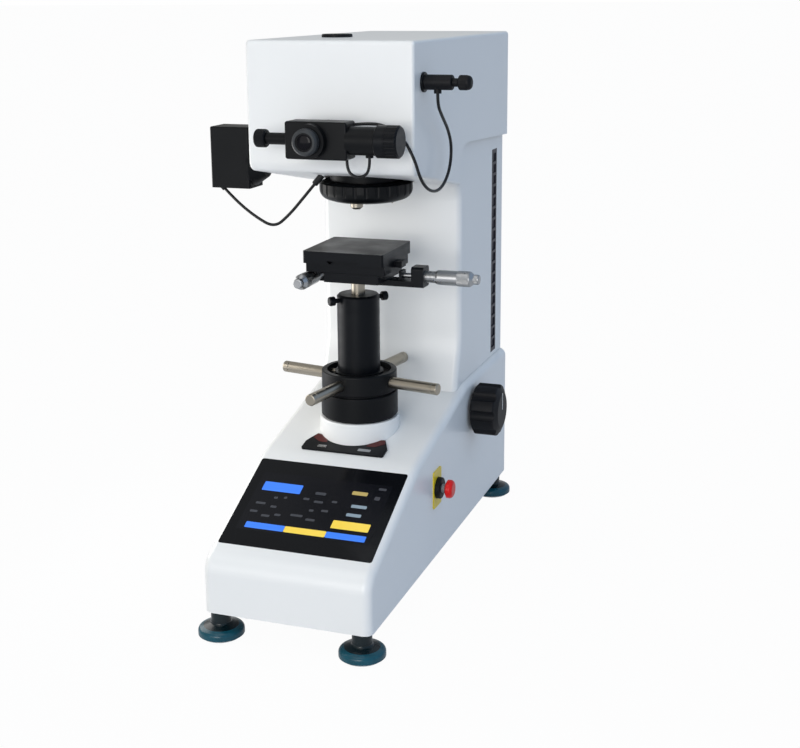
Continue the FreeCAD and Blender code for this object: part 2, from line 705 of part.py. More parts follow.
def make_head_cover():
    """Sheet hood of the head, open where it sits over the column and the turret."""
    body = block("head_form", head_outline(), "YZ", S.head_width, middle=True)
    mouth = number(S.head_front + S.chin_drop + S.underside_length)
    hollow(body, S.head_wall, lambda face: face.BoundBox.YMin > mouth - 0.5
           and face.BoundBox.ZMax < number(S.skirt_front) + 1)
    soften(body, S.head_edge_round, lambda edge: near(edge.BoundBox.XLength, 0)
           and near(abs(edge.BoundBox.XMin), S.head_half)
           and not (edge.BoundBox.YMin > mouth - 0.5 and edge.BoundBox.ZMax < number(S.skirt_front) + 1))
    hole = rod("turret_hole", S.turret_radius + S.turret_clearance, 60, 0, S.turret_depth,
               S.underside_rear - 10)
    sight = rod("sight_hole", S.sight_tube + S.seat_gap, S.head_wall * 4, 0,
                S.head_front - S.head_wall * 2, S.sight_height, "Y")
    gland = gland_at("hood_gland", lamp_route()[-1], lamp_route()[-2], S.hood_gland_length)
    finish("head_cover", fuse("head_cover_all", cut("head_cover_cut", body, hole, sight), gland))


def make_head_arm():
    """Arm plate on the column that carries the turret, the sight tube and the lever, with two ribs."""
    half = S.head_half - S.head_wall
    start = S.lever_pivot - S.lever_front
    rear = S.base_length - 15
    top = S.arm_level + S.arm_thick
    plate = box("arm_plate", -half, start, S.arm_level, half, rear, top)
    ribs = []
    for side, x in (("left", -S.lever_width - S.rib_thick), ("right", S.lever_width + 0)):
        ribs.append(box(f"rib_{side}", x, start, top, x + S.rib_thick, S.lever_pivot + 60,
                        top + S.rib_height))
    spindle = rod("arm_spindle_hole", S.spindle_bore + 2, S.arm_thick * 3, 0, S.axis_depth,
                  S.arm_level - S.arm_thick)
    hang = rod("arm_rod_hole", S.rod_radius + 4, S.arm_thick * 3, 0, S.lever_pivot + S.lever_rear,
               S.arm_level - S.arm_thick)
    pin = rod("lever_pin", S.rod_radius + 2, S.lever_width * 2 + S.rib_thick * 2,
              -S.lever_width - S.rib_thick, S.lever_pivot, S.lever_level, "X")
    finish("head_arm", fuse("head_arm_all", cut("arm_drilled", fuse("arm_solid", plate, *ribs),
                                                spindle, hang), pin))


def make_rear_cover():
    """Sheet cover over the open rear of the column, with six screws."""
    half = S.column_half - S.cover_lip
    top = S.cover_bottom + S.cover_height
    sheet = box("rear_sheet", -half - 4, S.base_length, S.cover_bottom, half + 4,
                S.base_length + S.cover_thick, top)
    finish("rear_cover", sheet, -half - 4, S.base_length, S.cover_bottom)
    screws = []
    for i, z in enumerate((S.cover_bottom + 8, S.cover_bottom + S.cover_height / 2, top - 8)):
        for j, x in enumerate((-half, half)):
            screws.append(rod(f"cover_screw_{i}{j}", 3, 1.5 + 0 * S.parting, x,
                              S.base_length + S.cover_thick, z, "Y"))
    finish("cover_screws", fuse("cover_screws_all", *screws))


# Lift, handwheel and clamp screws.


def make_handwheel():
    """Handwheel drum: a skirt, a groove and a hub with four spoke sockets."""
    bore = S.guide_radius
    low = S.wheel_bottom
    mid = low + S.skirt_height
    hub = mid + S.groove_width
    top = hub + S.hub_height
    outer = S.wheel_radius
    body = turned("handwheel", [
        (bore, low), (outer - 3, low), (outer, low + 3), (outer, mid, 1.5),
        (outer - S.groove_depth, mid), (outer - S.groove_depth, hub), (outer - S.hub_inset, hub, 1.5),
        (outer - S.hub_inset, top, 2), (outer - 8, top), (outer - 8, top - S.hub_recess),
        (bore + 4, top - S.hub_recess), (bore + 4, top - 2), (bore, top - 2),
    ])
    sketch = new_sketch(body, "YZ", S.spoke_root)
    draw_circle(sketch, 0, S.spoke_level, S.spoke_radius + S.running_gap)
    socket = pocket(body, sketch, S.wheel_radius, reverse=True)
    ring_pattern(body, [socket], S.spoke_count)
    turn_about_axis(body, "handwheel")


def make_spokes():
    """Chromed spokes with a dark end cap line, pressed into the hub."""
    body = new_body("spokes")
    sketch = new_sketch(body, "XZ")
    level = S.spoke_level
    draw_outline(sketch, [
        (S.spoke_root + 0.2, level), (S.spoke_reach, level),
        (S.spoke_reach, level + S.spoke_radius, 1.5), (S.spoke_reach - 8, level + S.spoke_radius),
        (S.spoke_reach - 8.5, level + S.spoke_radius - 0.5),
        (S.spoke_reach - 9, level + S.spoke_radius), (S.spoke_root + 0.2, level + S.spoke_radius),
    ])
    axis_line(sketch, level)
    bar = revolve(body, sketch, "Axis0")
    ring_pattern(body, [bar], S.spoke_count)
    turn_about_axis(body, "handwheel_spokes")


def axis_line(sketch, level):
    """A level construction line that a bar is turned about."""
    line = sketch.addGeometry(Part.LineSegment(Vector(0, number(level), 0), Vector(10, number(level), 0)),
                              True)
    hold_point(sketch, line, 1, 0, level)
    hold_point(sketch, line, 2, 10, level)


def turn_about_axis(body, name):
    """Sets a piece of the handwheel on the test axis, turned to the angle of the spokes."""
    finish(name, body, 0, S.axis_depth, 0, Rotation(Vector(0, 0, 1), number(S.spoke_turn)))
    bind(body, "Placement.Rotation.Angle", S.spoke_turn)


def make_lift():
    """Lifting column: a thick tube whose solid head takes the stage spigot and two clamp screws."""
    outer, inner = S.lift_radius, S.lift_radius - S.lift_wall
    bore = S.spigot_radius + S.running_gap
    cap = S.lift_top - S.lift_cap
    body = turned("lifting_column", [
        (inner, S.lift_bottom), (outer, S.lift_bottom), (outer, S.lift_top - S.lift_chamfer),
        (outer - S.lift_chamfer, S.lift_top), (bore, S.lift_top),
        (bore, S.lift_top - S.spigot_depth - 2), (0, S.lift_top - S.spigot_depth - 2), (0, cap),
        (inner, cap),
    ])
    level = S.lift_top - S.clamp_drop
    sketch = new_sketch(body, "YZ", 0)
    draw_circle(sketch, 0, level, S.clamp_radius + S.running_gap)
    pocket(body, sketch, S.lift_radius * 3, middle=True)
    finish("lifting_column", body, 0, S.axis_depth, 0, Rotation(Vector(0, 0, 1), 45))
    for name, angle in (("clamp_screw_front", 225), ("clamp_screw_rear", 45)):
        reach, knob = S.clamp_reach, S.clamp_knob_radius
        start = S.clamp_reach - S.clamp_knob_length
        screw = turned(name, [
            (0, S.spigot_radius + 0.2), (S.clamp_radius, S.spigot_radius + 0.2),
            (S.clamp_radius, start), (knob, start, 1), (knob, reach, 2), (0, reach),
        ])
        turn = Rotation(Vector(0, 0, 1), angle).multiply(ALONG_X)
        finish(name, screw, 0, S.axis_depth, level, turn)


# Stage.


def dovetail(foot, head, low, high):
    """Corners of a dovetail rail or groove that widens upwards."""
    return [(-foot / 2, low), (foot / 2, low), (head / 2, high), (-head / 2, high)]


def make_stage():
    """Three stage layers on dovetails, with a bracket or anvil for each micrometer screw."""
    gap = S.parting
    bottom, layer = S.stage_bottom, S.stage_layer
    spigot = turned("stage_spigot", [
        (0, S.lift_top - S.spigot_depth), (S.spigot_radius, S.lift_top - S.spigot_depth),
        (S.spigot_radius, bottom - S.spigot_flange_thick, 2),
        (S.spigot_flange, bottom - S.spigot_flange_thick), (S.spigot_flange, bottom), (0, bottom),
    ])
    finish("stage_spigot", spigot, 0, S.axis_depth, 0)

    half_y = S.stage_depth / 2
    front, back = S.axis_depth - half_y, S.axis_depth + half_y
    slab = box("stage_base_slab", -S.base_left, front, bottom, S.base_right, back, bottom + layer)
    rail = block("x_rail", shifted(dovetail(S.rail_foot, S.rail_head, bottom + layer,
                                            bottom + layer + S.rail_height), S.axis_depth),
                 "YZ", S.base_left + S.base_right, lift=-S.base_left)
    side = S.collar_width / 2
    arm = box("x_bracket", S.spigot_flange + 2, S.axis_depth - side, bottom - S.bracket_thick,
              S.x_collar + S.collar_length, S.axis_depth + side, bottom)
    collar = block("x_collar", rectangle(S.axis_depth - side, S.x_screw_height - S.collar_height / 2,
                                         S.axis_depth + side, S.x_screw_height + S.collar_height / 2, 4),
                   "YZ", S.collar_length, lift=S.x_collar)
    hole = rod("x_collar_hole", S.barrel_radius + S.running_gap, S.collar_length + 4, S.x_collar - 2,
               S.axis_depth, S.x_screw_height, "X")
    finish("stage_base", cut("stage_base_cut", fuse("stage_base_all", slab, rail, arm, collar), hole))

    half = S.stage_size / 2
    low = S.middle_bottom
    slab = box("stage_middle_slab", -half + 1, front, low, half - 1, back, low + layer)
    groove = block("x_groove", shifted(dovetail(S.rail_foot + gap * 2, S.rail_head + gap * 2, low - gap,
                                                bottom + layer + S.rail_height + gap), S.axis_depth),
                   "YZ", S.stage_size * 2, middle=True)
    rail = block("y_rail", dovetail(S.rail_foot, S.rail_head, low + layer, low + layer + S.rail_height),
                 "XZ", S.stage_depth, lift=-back)
    anvil = [box("x_anvil_top", half - 1, S.axis_depth - 8, low + 2, half + S.anvil_reach,
                 S.axis_depth + 8, low + layer),
             box("x_anvil", half + S.anvil_reach - S.anvil_thick, S.axis_depth - 8, bottom + 1,
                 half + S.anvil_reach, S.axis_depth + 8, low + layer)]
    y_side = S.barrel_radius + 1
    holder = box("y_collar", -S.y_screw_side - y_side, S.y_collar_depth,
                 S.y_screw_height - y_side - 1, y_side - S.y_screw_side,
                 S.y_collar_depth + S.collar_length, low + layer / 2)
    hole = rod("y_collar_hole", S.barrel_radius + S.running_gap, S.collar_length + 4, -S.y_screw_side,
               S.y_collar_depth - 2, S.y_screw_height, "Y")
    body = cut("stage_middle_cut", fuse("stage_middle_all", slab, rail, holder, *anvil), groove, hole)
    finish("stage_middle", body)

    low = S.plate_bottom
    y0, y1 = S.axis_depth - half, S.axis_depth + half
    top = block("stage_plate", rectangle(-half, y0, half, y1, 3), "XY", S.stage_plate, lift=low)
    groove = block("y_groove", dovetail(S.rail_foot + gap * 2, S.rail_head + gap * 2, low - gap,
                                        low - gap + S.rail_height + gap), "XZ", S.stage_size * 3,
                   lift=-y1 - half)
    reach = S.stage_depth / 2 + S.slide_travel + 1
    lug = [box("y_anvil_top", -S.y_screw_side - 8, y1 - 4, low + 2, 8 - S.y_screw_side,
               S.axis_depth + reach + S.anvil_thick, low + layer),
           box("y_anvil", -S.y_screw_side - 8, S.axis_depth + reach, S.y_screw_height - 7,
               8 - S.y_screw_side, S.axis_depth + reach + S.anvil_thick, low + layer)]
    finish("stage_top", fuse("stage_top_all", cut("stage_top_cut", top, groove), *lug))


def shifted(corners, across):
    """Moves an outline sideways."""
    return [(x + across,) + tuple(rest) for x, *rest in corners]


def make_micrometers():
    """Two micrometer heads: a fixed barrel in its collar, and the thimble with its spindle."""
    half = S.stage_size / 2
    x_anvil = half + S.anvil_reach + S.parting
    y_anvil = S.axis_depth + S.stage_depth / 2 + S.slide_travel + 1 - S.parting
    x_face = S.x_collar + S.collar_length
    heads = (
        ("x", x_face, x_face - x_anvil, "X", (0 * half, S.axis_depth, S.x_screw_height)),
        ("y", S.y_collar_depth, y_anvil - S.y_collar_depth, "-Y", (-S.y_screw_side, 0, S.y_screw_height)),
    )
    for name, face, reach, way, (x, y, z) in heads:
        mouth = S.barrel_length - 25
        inner = S.barrel_radius + S.running_gap
        end = mouth + S.thimble_length
        deep = S.barrel_length + 1 + S.slide_travel + 2
        barrel = turned(f"{name}_barrel", [
            (S.spindle_radius + S.running_gap, -S.collar_length), (S.barrel_radius, -S.collar_length),
            (S.barrel_radius, S.barrel_length), (S.spindle_radius + S.running_gap, S.barrel_length),
        ])
        thimble = turned(f"{name}_thimble", [
            (0, -reach), (S.spindle_radius, -reach), (S.spindle_radius, deep), (inner, deep),
            (inner, mouth), (S.thimble_radius - 1, mouth), (S.thimble_radius, mouth + 3),
            (S.thimble_radius, end - 4), (S.ratchet_radius, end), (S.ratchet_radius,
                                                                   end + S.ratchet_length, 1),
            (0, end + S.ratchet_length),
        ])
        if name == "x":
            finish("x_barrel", barrel, face, y, z, TURNS[way])
            finish("x_thimble", thimble, face, y, z, TURNS[way])
        else:
            finish("y_barrel", barrel, x, face, z, TURNS[way])
            finish("y_thimble", thimble, x, face, z, TURNS[way])


# Turret and loading train.


def make_turret():
    """Fluted turret with three seats, its two objectives and the indenter."""
    rim = S.turret_top - S.turret_rim_drop
    body = turned("turret_form", [
        (S.pivot_radius, S.turret_bottom), (S.turret_foot, S.turret_bottom),
        (S.turret_radius, S.turret_bottom + 5, S.turret_round), (S.turret_radius, rim),
        (S.turret_neck, S.turret_top), (S.pivot_radius, S.turret_top),
    ])
    for x, y, fit in seat_places():
        sketch = new_sketch(body, "XY", S.turret_bottom)
        draw_circle(sketch, x, y, fit)
        pocket(body, sketch, reverse=True)
    sketch = new_sketch(body, "XY", rim)
    draw_circle(sketch, S.turret_radius + S.flute_radius - S.flute_inset, 0, S.flute_radius)
    flute = pocket(body, sketch, S.turret_top - S.turret_bottom)
    ring_pattern(body, [flute], S.flute_count)
    finish("turret", body, 0, S.turret_depth, 0)

    (x0, y0, _), (x1, y1, _), (x2, y2, _) = seat_places()
    top = S.turret_top - 1
    shape = [(0, S.objective_tip), (S.objective_radius - 3, S.objective_tip),
             (S.objective_radius, S.objective_tip + 2.5), (S.objective_radius, top), (0, top)]
    high = turned("objective_high", shape)
    short = [(r, z if number(z) > number(S.turret_bottom) else z + 2) for r, z in shape]
    low = turned("objective_low", short)
    put_at(high, x0, y0, 0)
    put_at(low, x1, y1, 0)
    finish("objectives", fuse("objectives_pair", high, low), 0, S.turret_depth, 0)
    tip = turned("indenter_form", [
        (0, S.objective_tip + 1), (1, S.objective_tip + 1.5), (4, S.turret_bottom),
        (S.objective_radius, S.turret_bottom + 1), (S.objective_radius, top), (0, top),
    ])
    finish("indenter", tip, x2, y2 + S.turret_depth, 0)


def seat_places():
    """Seats on the turret, the first one in front on the test axis."""
    spots = []
    for angle in (-90, 150, 30):
        x = S.turret_offset * math.cos(math.radians(angle))
        y = S.turret_offset * math.sin(math.radians(angle))
        spots.append((x, y, S.objective_radius + S.running_gap))
    return spots


def make_turret_mount():
    """Round mount under the arm plate with the turret's pivot pin and the bore that guides the spindle."""
    low = S.turret_top + S.parting
    disc = rod("mount_disc", S.mount_radius, S.arm_level - low, 0, S.turret_depth, low)
    pin = rod("mount_pin", S.pivot_radius - S.running_gap, S.turret_top - S.turret_bottom - 2, 0,
              S.turret_depth, S.turret_bottom + 2)
    bore = rod("mount_bore", S.spindle_bore, S.arm_level - low + 4, 0, S.axis_depth, low - 1)
    finish("turret_mount", fuse("turret_mount_all", cut("mount_bored", disc, bore), pin))


def make_loading_train():
    """Lever on its pivot, the spindle that it presses down and the weights that hang from its rear."""
    half, tall = S.lever_width / 2, S.lever_height / 2
    pivot = S.lever_pivot
    beam = block("lever_beam", rectangle(pivot - S.lever_front, S.lever_level - tall,
                                         pivot + S.lever_rear + 10, S.lever_level + tall, 4),
                 "YZ", S.lever_width, middle=True)
    hole = rod("lever_bore", S.rod_radius + 2 + S.running_gap, S.lever_width + 4, -half - 2, pivot,
               S.lever_level, "X")
    slot = rod("hanger_hole", S.rod_radius + 3, S.lever_height + 4, 0, pivot + S.lever_rear,
               S.lever_level - tall - 2)
    finish("load_lever", cut("load_lever_cut", beam, hole, slot))
    low = S.turret_top + S.parting + 2.7
    spindle = turned("loading_spindle", [
        (0, low), (S.spindle_bore - S.running_gap, low),
        (S.spindle_bore - S.running_gap, S.lever_level - tall - 1),
        (S.rod_radius, S.lever_level - tall - S.parting), (0, S.lever_level - tall - S.parting),
    ])
    finish("loading_spindle", spindle, 0, S.axis_depth, 0)
    stack_top = S.weight_bottom + S.weight_count * S.weight_height
    corners = [(0, S.weight_bottom)]
    for i in range(int(number(S.weight_count))):
        z = S.weight_bottom + S.weight_height * i
        corners += [(S.weight_radius, z), (S.weight_radius, z + S.weight_height - 2),
                    (S.weight_radius - 3, z + S.weight_height - 2), (S.weight_radius - 3,
                                                                     z + S.weight_height)]
    top = S.lever_level + tall + S.parting
    corners += [(S.rod_radius, stack_top), (S.rod_radius, top), (S.rod_radius + 5, top + 0.5),
                (S.rod_radius + 5, top + 4), (0, top + 4)]
    finish("weight_stack", turned("weight_stack", corners), 0, S.lever_pivot + S.lever_rear, 0)


# Measuring eyepiece.


def make_eyepiece():
    """Sight tube on the head, and the measuring eyepiece that turns on it."""
    inside = S.sight_inside
    end = S.block_rear + 14
    flange = S.sight_flange_thick
    tube = turned("sight_tube", [
        (0, -inside), (S.sight_tube, -inside), (S.sight_tube, 0), (S.sight_flange, 0),
        (S.sight_flange, flange, 1), (S.sight_tube, flange), (S.sight_tube, end), (0, end),
    ])
    finish("sight_tube", tube, 0, S.head_front, S.sight_height, BACK_Y)

    half = S.block_height / 2
    depth = S.block_back - S.block_face
    body = block("eyepiece_form", rectangle(-S.block_left, S.sight_height - half, S.block_right,
                                            S.sight_height + half, S.block_round),
                 "XZ", depth, lift=-S.block_back)
    soften(body, 2, lambda edge: near(edge.BoundBox.YMax, S.block_face)
           and near(edge.BoundBox.YLength, 0))
    middle = S.drum_axis
    drum_side = rod("measuring_barrel", S.barrel_drum_radius, S.barrel_drum_length + 2,
                    S.block_right - 2, middle, S.sight_height, "X")
    stem = rod("adjusting_stem", S.stem_radius, S.stem_length + 2, 2 - S.block_left, middle,
               S.sight_height, "-X")
    ocular = rod("ocular_seat", S.ocular_radius, S.ocular_length + 2, 0, S.block_face + 2,
                 S.sight_height, "-Y")
    nose = rod("ocular_nose", S.ocular_bore - S.running_gap, S.ocular_length + S.diopter_length - 1, 0,
               S.block_face, S.sight_height, "-Y")
    bore = rod("sight_bore", S.sight_tube + S.running_gap, 14.5, 0, S.block_back - 14.2,
               S.sight_height, "Y")
    drum_hole = rod("drum_bore", S.drum_pin + S.running_gap, 20, S.block_right +
                    S.barrel_drum_length - 16, middle, S.sight_height, "X")
    knob_hole = rod("knob_bore", 3 + S.running_gap, 20, 16 - S.block_left - S.stem_length, middle,
                    S.sight_height, "-X")
    gland = rod("drum_gland", S.gland_radius, S.drum_gland_drop, S.block_right + S.drum_gland_reach,
                middle, S.sight_height - S.drum_gland_drop)
    solid = fuse("eyepiece_solid", body, drum_side, stem, ocular, nose, gland)
    finish("eyepiece_block", cut("eyepiece_cut", solid, bore, drum_hole, knob_hole))

    ring = turned("diopter_ring", [
        (S.ocular_bore, 0), (S.diopter_radius - 1, 0), (S.diopter_radius, 1),
        (S.diopter_radius, S.diopter_length - 2), (S.diopter_radius - 2, S.diopter_length),
        (S.ocular_bore, S.diopter_length),
    ])
    finish("diopter_ring", ring, 0, S.block_face - S.ocular_length - S.parting, S.sight_height, BACK_Y)

    drum = turned("measuring_drum", [
        (0, -14), (S.drum_pin, -14), (S.drum_pin, 0), (S.drum_radius - 1, 0), (S.drum_radius, 1),
        (S.drum_radius, S.drum_length - 2), (S.drum_radius - 2, S.drum_length), (0, S.drum_length),
    ])
    sketch = new_sketch(drum, "XY", S.drum_length)
    draw_circle(sketch, S.drum_radius + 0.6, 0, 1.4)
    rib = pocket(drum, sketch, S.drum_length * 0.55)
    ring_pattern(drum, [rib], S.drum_ribs)
    finish("measuring_drum", drum, S.block_right + S.barrel_drum_length + S.parting, middle,
           S.sight_height, ALONG_X)
    knob = turned("adjusting_knob", [
        (0, -10), (3, -10), (3, 0), (S.knob_radius - 1, 0), (S.knob_radius, 1),
        (S.knob_radius, S.knob_length - 1), (S.knob_radius - 1, S.knob_length), (0, S.knob_length),
    ])
    finish("adjusting_knob", knob, -S.block_left - S.stem_length - S.parting, middle, S.sight_height,
           BACK_X)


# Lamp house, plug, cap and controls.


def make_lamp():
    """Lamp house left of the head, its conical nose against the head, and its centring screw."""
    right, left = -S.lamp_right, -S.lamp_left
    top = S.lamp_bottom + S.lamp_height
    body = block("lamp_form", rectangle(left, S.lamp_front, right, S.lamp_front + S.lamp_depth,
                                        S.lamp_round), "XY", S.lamp_height, lift=S.lamp_bottom)
    soften(body, 2, lambda edge: near(edge.BoundBox.ZMin, top) and near(edge.BoundBox.ZLength, 0))
    cone = turned("lamp_nose", [(0, -4), (S.nose_base, -4), (S.nose_base, 0), (S.nose_tip, S.nose_length),
                                (0, S.nose_length)])
    put_at(cone, right, S.lamp_middle, S.nose_level, ALONG_X)
    hole = rod("lamp_screw_hole", S.screw_radius + S.running_gap, 12, left - 2, S.lamp_middle,
               S.nose_level, "X")
    gland = gland_at("lamp_gland", lamp_route()[0], lamp_route()[1], S.lamp_gland_length)
    finish("lamp_house", cut("lamp_house_cut", fuse("lamp_solid", body, cone, gland), hole))
    screw = turned("lamp_screw", [
        (0, -8), (S.screw_radius, -8), (S.screw_radius, 0.5), (S.screw_knob, 0.5),
        (S.screw_knob, S.screw_length, 1), (0, S.screw_length),
    ])
    finish("lamp_screw", screw, left, S.lamp_middle, S.nose_level, BACK_X)


def make_plug():
    """Socket ring on the right side of the head, and the plug with its neck and grip."""
    ring = turned("plug_socket", [(0, 0), (S.socket_radius, 0), (S.socket_radius, S.socket_thick, 1),
                                  (0, S.socket_thick)])
    finish("plug_socket", ring, S.head_half, S.plug_depth, S.plug_height, ALONG_X)
    neck = S.plug_length
    grip = neck + S.neck_length
    end = grip + S.grip_length
    plug = turned("plug_form", [
        (0, 0), (S.plug_radius, 0), (S.plug_radius, neck, 2), (S.plug_neck, neck), (S.plug_neck, grip),
        (S.grip_radius, grip + 2), (S.grip_radius, end, 5), (0, end),
    ])
    put_at(plug, S.plug_start, S.plug_depth, S.plug_height, ALONG_X)
    gland = rod("plug_gland", S.gland_radius, S.plug_gland_drop, S.plug_start + S.plug_gland_reach,
                S.plug_depth, S.plug_height - S.plug_gland_drop)
    finish("encoder_plug", fuse("encoder_plug_all", plug, gland))


def make_port_cap():
    """Low round cap over the camera port on top of the head."""
    cap = turned("port_cap", [(0, 0), (S.port_radius, 0), (S.port_radius, S.port_thick, 1.5),
                              (0, S.port_thick)])
    finish("port_cap", cap, S.port_side, S.port_depth, S.head_top)


def make_selector():
    """Lobed load selector knob with its shaft and cam inside the base."""
    start = S.base_half + S.selector_gap
    inside = S.base_half - 40
    body = turned("selector_form", [
        (0, -start + inside), (S.cam_radius, -start + inside), (S.cam_radius, -start + inside + 8),
        (S.shaft_radius, -start + inside + 8), (S.shaft_radius, 0), (S.selector_radius - 4, 0),
        (S.selector_radius, 3), (S.selector_radius, S.selector_length - 5, 3),
        (S.selector_radius - 12, S.selector_length), (0, S.selector_length),
    ])
    sketch = new_sketch(body, "XY", 0)
    draw_circle(sketch, S.selector_radius + S.lobe_radius * 0.5, 0, S.lobe_radius)
    scallop = pocket(body, sketch, S.selector_length, reverse=True)
    ring_pattern(body, [scallop], S.selector_lobes)
    finish("selector_knob", body, start, S.selector_depth, S.selector_height, ALONG_X)


def make_stop():
    """Emergency stop: yellow plate, collar, plunger stem and mushroom button."""
    wall = S.base_half
    half_w, half_h = S.stop_plate_width / 2, S.stop_plate_height / 2
    plate = block("stop_plate_form", rectangle(S.stop_depth - half_w, S.stop_height - half_h,
                                               S.stop_depth + half_w, S.stop_height + half_h, 3),
                  "YZ", S.stop_plate_thick, lift=wall)
    hole = rod("stop_plate_hole", S.stop_collar + 0.2, S.stop_plate_thick * 3,
               wall - S.stop_plate_thick, S.stop_depth, S.stop_height, "X")
    finish("stop_plate", cut("stop_plate_cut", plate, hole))
    collar = turned("stop_collar", [
        (S.stop_stem + S.running_gap, 0), (S.stop_collar, 0), (S.stop_collar, S.stop_collar_length, 2),
        (S.stop_stem + S.running_gap, S.stop_collar_length),
    ])
    finish("stop_collar", collar, wall, S.stop_depth, S.stop_height, ALONG_X)
    face = S.stop_collar_length + S.stop_travel + S.parting
    stem = turned("stop_stem", [(0, -14), (S.stop_stem, -14), (S.stop_stem, face - S.parting),
                                (2, face - S.parting), (2, face + 6), (0, face + 6)])
    finish("stop_stem", stem, wall, S.stop_depth, S.stop_height, ALONG_X)
    button = turned("stop_button", [
        (2 + S.running_gap, face), (S.stop_stem + 1, face), (S.stop_radius, face + 3),
        (S.stop_radius, face + S.stop_length, 5), (0, face + S.stop_length), (0, face + 6 + S.parting),
        (2 + S.running_gap, face + 6 + S.parting),
    ])
    finish("stop_button", button, wall, S.stop_depth, S.stop_height, ALONG_X)


def make_power_entry():
    """Power inlet in the rear wall, with the rocker switch beside its socket."""
    half_w, half_h = S.inlet_width / 2, S.inlet_height / 2
    x, z, rear = S.inlet_side, S.inlet_level, S.base_length
    flange = box("inlet_flange", x - half_w, rear, z - half_h, x + half_w, rear + S.inlet_proud,
                 z + half_h)
    case = box("inlet_case", x - half_w + 3, rear - S.inlet_deep, z - half_h + 3, x + half_w - 3, rear,
               z + half_h - 3)
    socket = box("inlet_socket", x - half_w + 6, rear - 15, z - 8, x + 4, rear + 5, z + 8)
    rocker = x + half_w - 4 - S.rocker_width / 2 - 1
    frame = box("rocker_hole", rocker - S.rocker_width / 2 - S.parting, rear - 12,
                z - S.rocker_height / 2 - S.parting, rocker + S.rocker_width / 2 + S.parting, rear + 5,
                z + S.rocker_height / 2 + S.parting)
    pins = [box(f"inlet_pin_{i}", x - half_w + 10 + i * 7, rear - 16, z - 2, x - half_w + 12 + i * 7,
                rear - 4, z + 2) for i in range(3)]
    solid = cut("inlet_cut", fuse("inlet_solid", flange, case), socket, frame)
    finish("power_inlet", fuse("inlet_all", solid, *pins))
    tall = S.rocker_height / 2
    key = block("rocker_form", [(-6, 2 - tall), (1.5, -tall), (0.4, 0), (1.5, tall), (-6, tall - 2)],
                "YZ", S.rocker_width, middle=True)
    finish("rocker_switch", key, rocker, rear + 0.2, z)


def make_electronics():
    """Control board on the base plate and the power supply behind it."""
    low = S.plate_top
    half = S.board_width / 2
    start = S.slope_depth - S.board_length
    board = box("board_sheet", -half, start, low + 8, half, start + S.board_length, low + 10)
    posts = [rod(f"board_post_{i}{j}", 3, 8 + 0 * half, x, y, low)
             for i, x in enumerate((6 - half, half - 6))
             for j, y in enumerate((start + 6, start + S.board_length - 6))]
    chips = [box(f"chip_{i}", -40 + 34 * i, start + 30, low + 10, -20 + 34 * i, start + 52, low + 14)
             for i in range(3)]
    finish("control_board", fuse("control_board_all", board, *posts, *chips))
    y = S.selector_depth - 10
    supply = box("supply_box", -S.supply_width / 2 - 40, y, low, S.supply_width / 2 - 40,
                 y + S.supply_length, low + S.supply_height)
    finish("power_supply", supply, -S.supply_width / 2 - 40, y, low)


# Cords, each a round bar along straight runs joined by tangent arcs.


def encoder_route():
    """From the flange of the sight tube, behind the eyepiece and round the head to the plug."""
    flange = S.head_front - S.sight_flange_thick
    plug_x = S.plug_start + S.plug_gland_reach
    end = S.plug_height - S.plug_gland_drop
    return [
        (12, flange, 600), (12, flange - 12, 600), (21.5, flange - 21.5, 601.5), (49, 144, 606),
        (75, 149.5, 605), (97, 151.5, 591), (112, 150, 566), (116.5, 158, 541), (119, 181, 525),
        (120, 212, 520), (120, 241, 526), (120, 264, 543), (120, 270, 569), (121, 252, 591),
        (plug_x - 1, S.plug_depth + 17, 612), (plug_x, S.plug_depth, end - 13),
        (plug_x, S.plug_depth, end),
    ]


def lamp_route():
    """From the gland under the lamp house, sagging freely, up to the gland under the hood."""
    drop = S.lamp_bottom
    return [
        (-166, 215, drop - 3), (-150, 215.3, drop - 19), (-126, 216, drop - 37), (-99, 216.5, drop - 51),
        (-78, 218, drop - 33), (-60, 220, drop - 12), (-44, 222, drop + 7),
    ]


def gland_at(name, end, before, length):
    """A gland that a cord runs into square on: its face is at the cord's end."""
    end, before = (Vector(*(number(value) for value in point)) for point in (end, before))
    bar = DOC.addObject("Part::Cylinder", name)
    bar.Radius = number(S.lamp_gland_radius)
    bar.Height = number(length)
    bind(bar, "Radius", S.lamp_gland_radius)
    bind(bar, "Height", length)
    bar.Placement = Placement(end, Rotation(Vector(0, 0, 1), end - before))
    return bar


def drum_route():
    """A short loop from the underside of the eyepiece block to the measuring barrel."""
    y, top = S.drum_axis, S.sight_height - S.block_height / 2
    end = S.block_right + S.drum_gland_reach
    return [
        (end - 28, y, top), (end - 28, y, top - 11.6), (end - 19.8, y, top - 19.8),
        (end - 8.2, y, top - 19.8), (end, y, top - 11.6), (end, y, S.sight_height - S.drum_gland_drop),
    ]


def cord_path(points):
    """Straight runs joined by arcs, each arc as large as 0.45 of its shorter run allows."""
    spots = [Vector(*point) for point in points]
    edges, start, radii = [], spots[0], []
    for before, at, after in zip(spots, spots[1:], spots[2:]):
        one, two = (before - at), (after - at)
        run = min(one.Length, two.Length)
        one.normalize()
        two.normalize()
        turn = math.pi - one.getAngle(two)
        radius = 0.45 * run / math.tan(turn / 2)
        radii.append(radius)
        first, last = at + one * (0.45 * run), at + two * (0.45 * run)
        inward = (one + two).normalize()
        centre = at + inward * (radius / math.cos(turn / 2))
        middle = centre - inward * radius
        edges.append(Part.LineSegment(start, first).toShape())
        edges.append(Part.Arc(first, middle, last).toShape())
        start = last
    edges.append(Part.LineSegment(start, spots[-1]).toShape())
    return Part.Wire(edges), radii


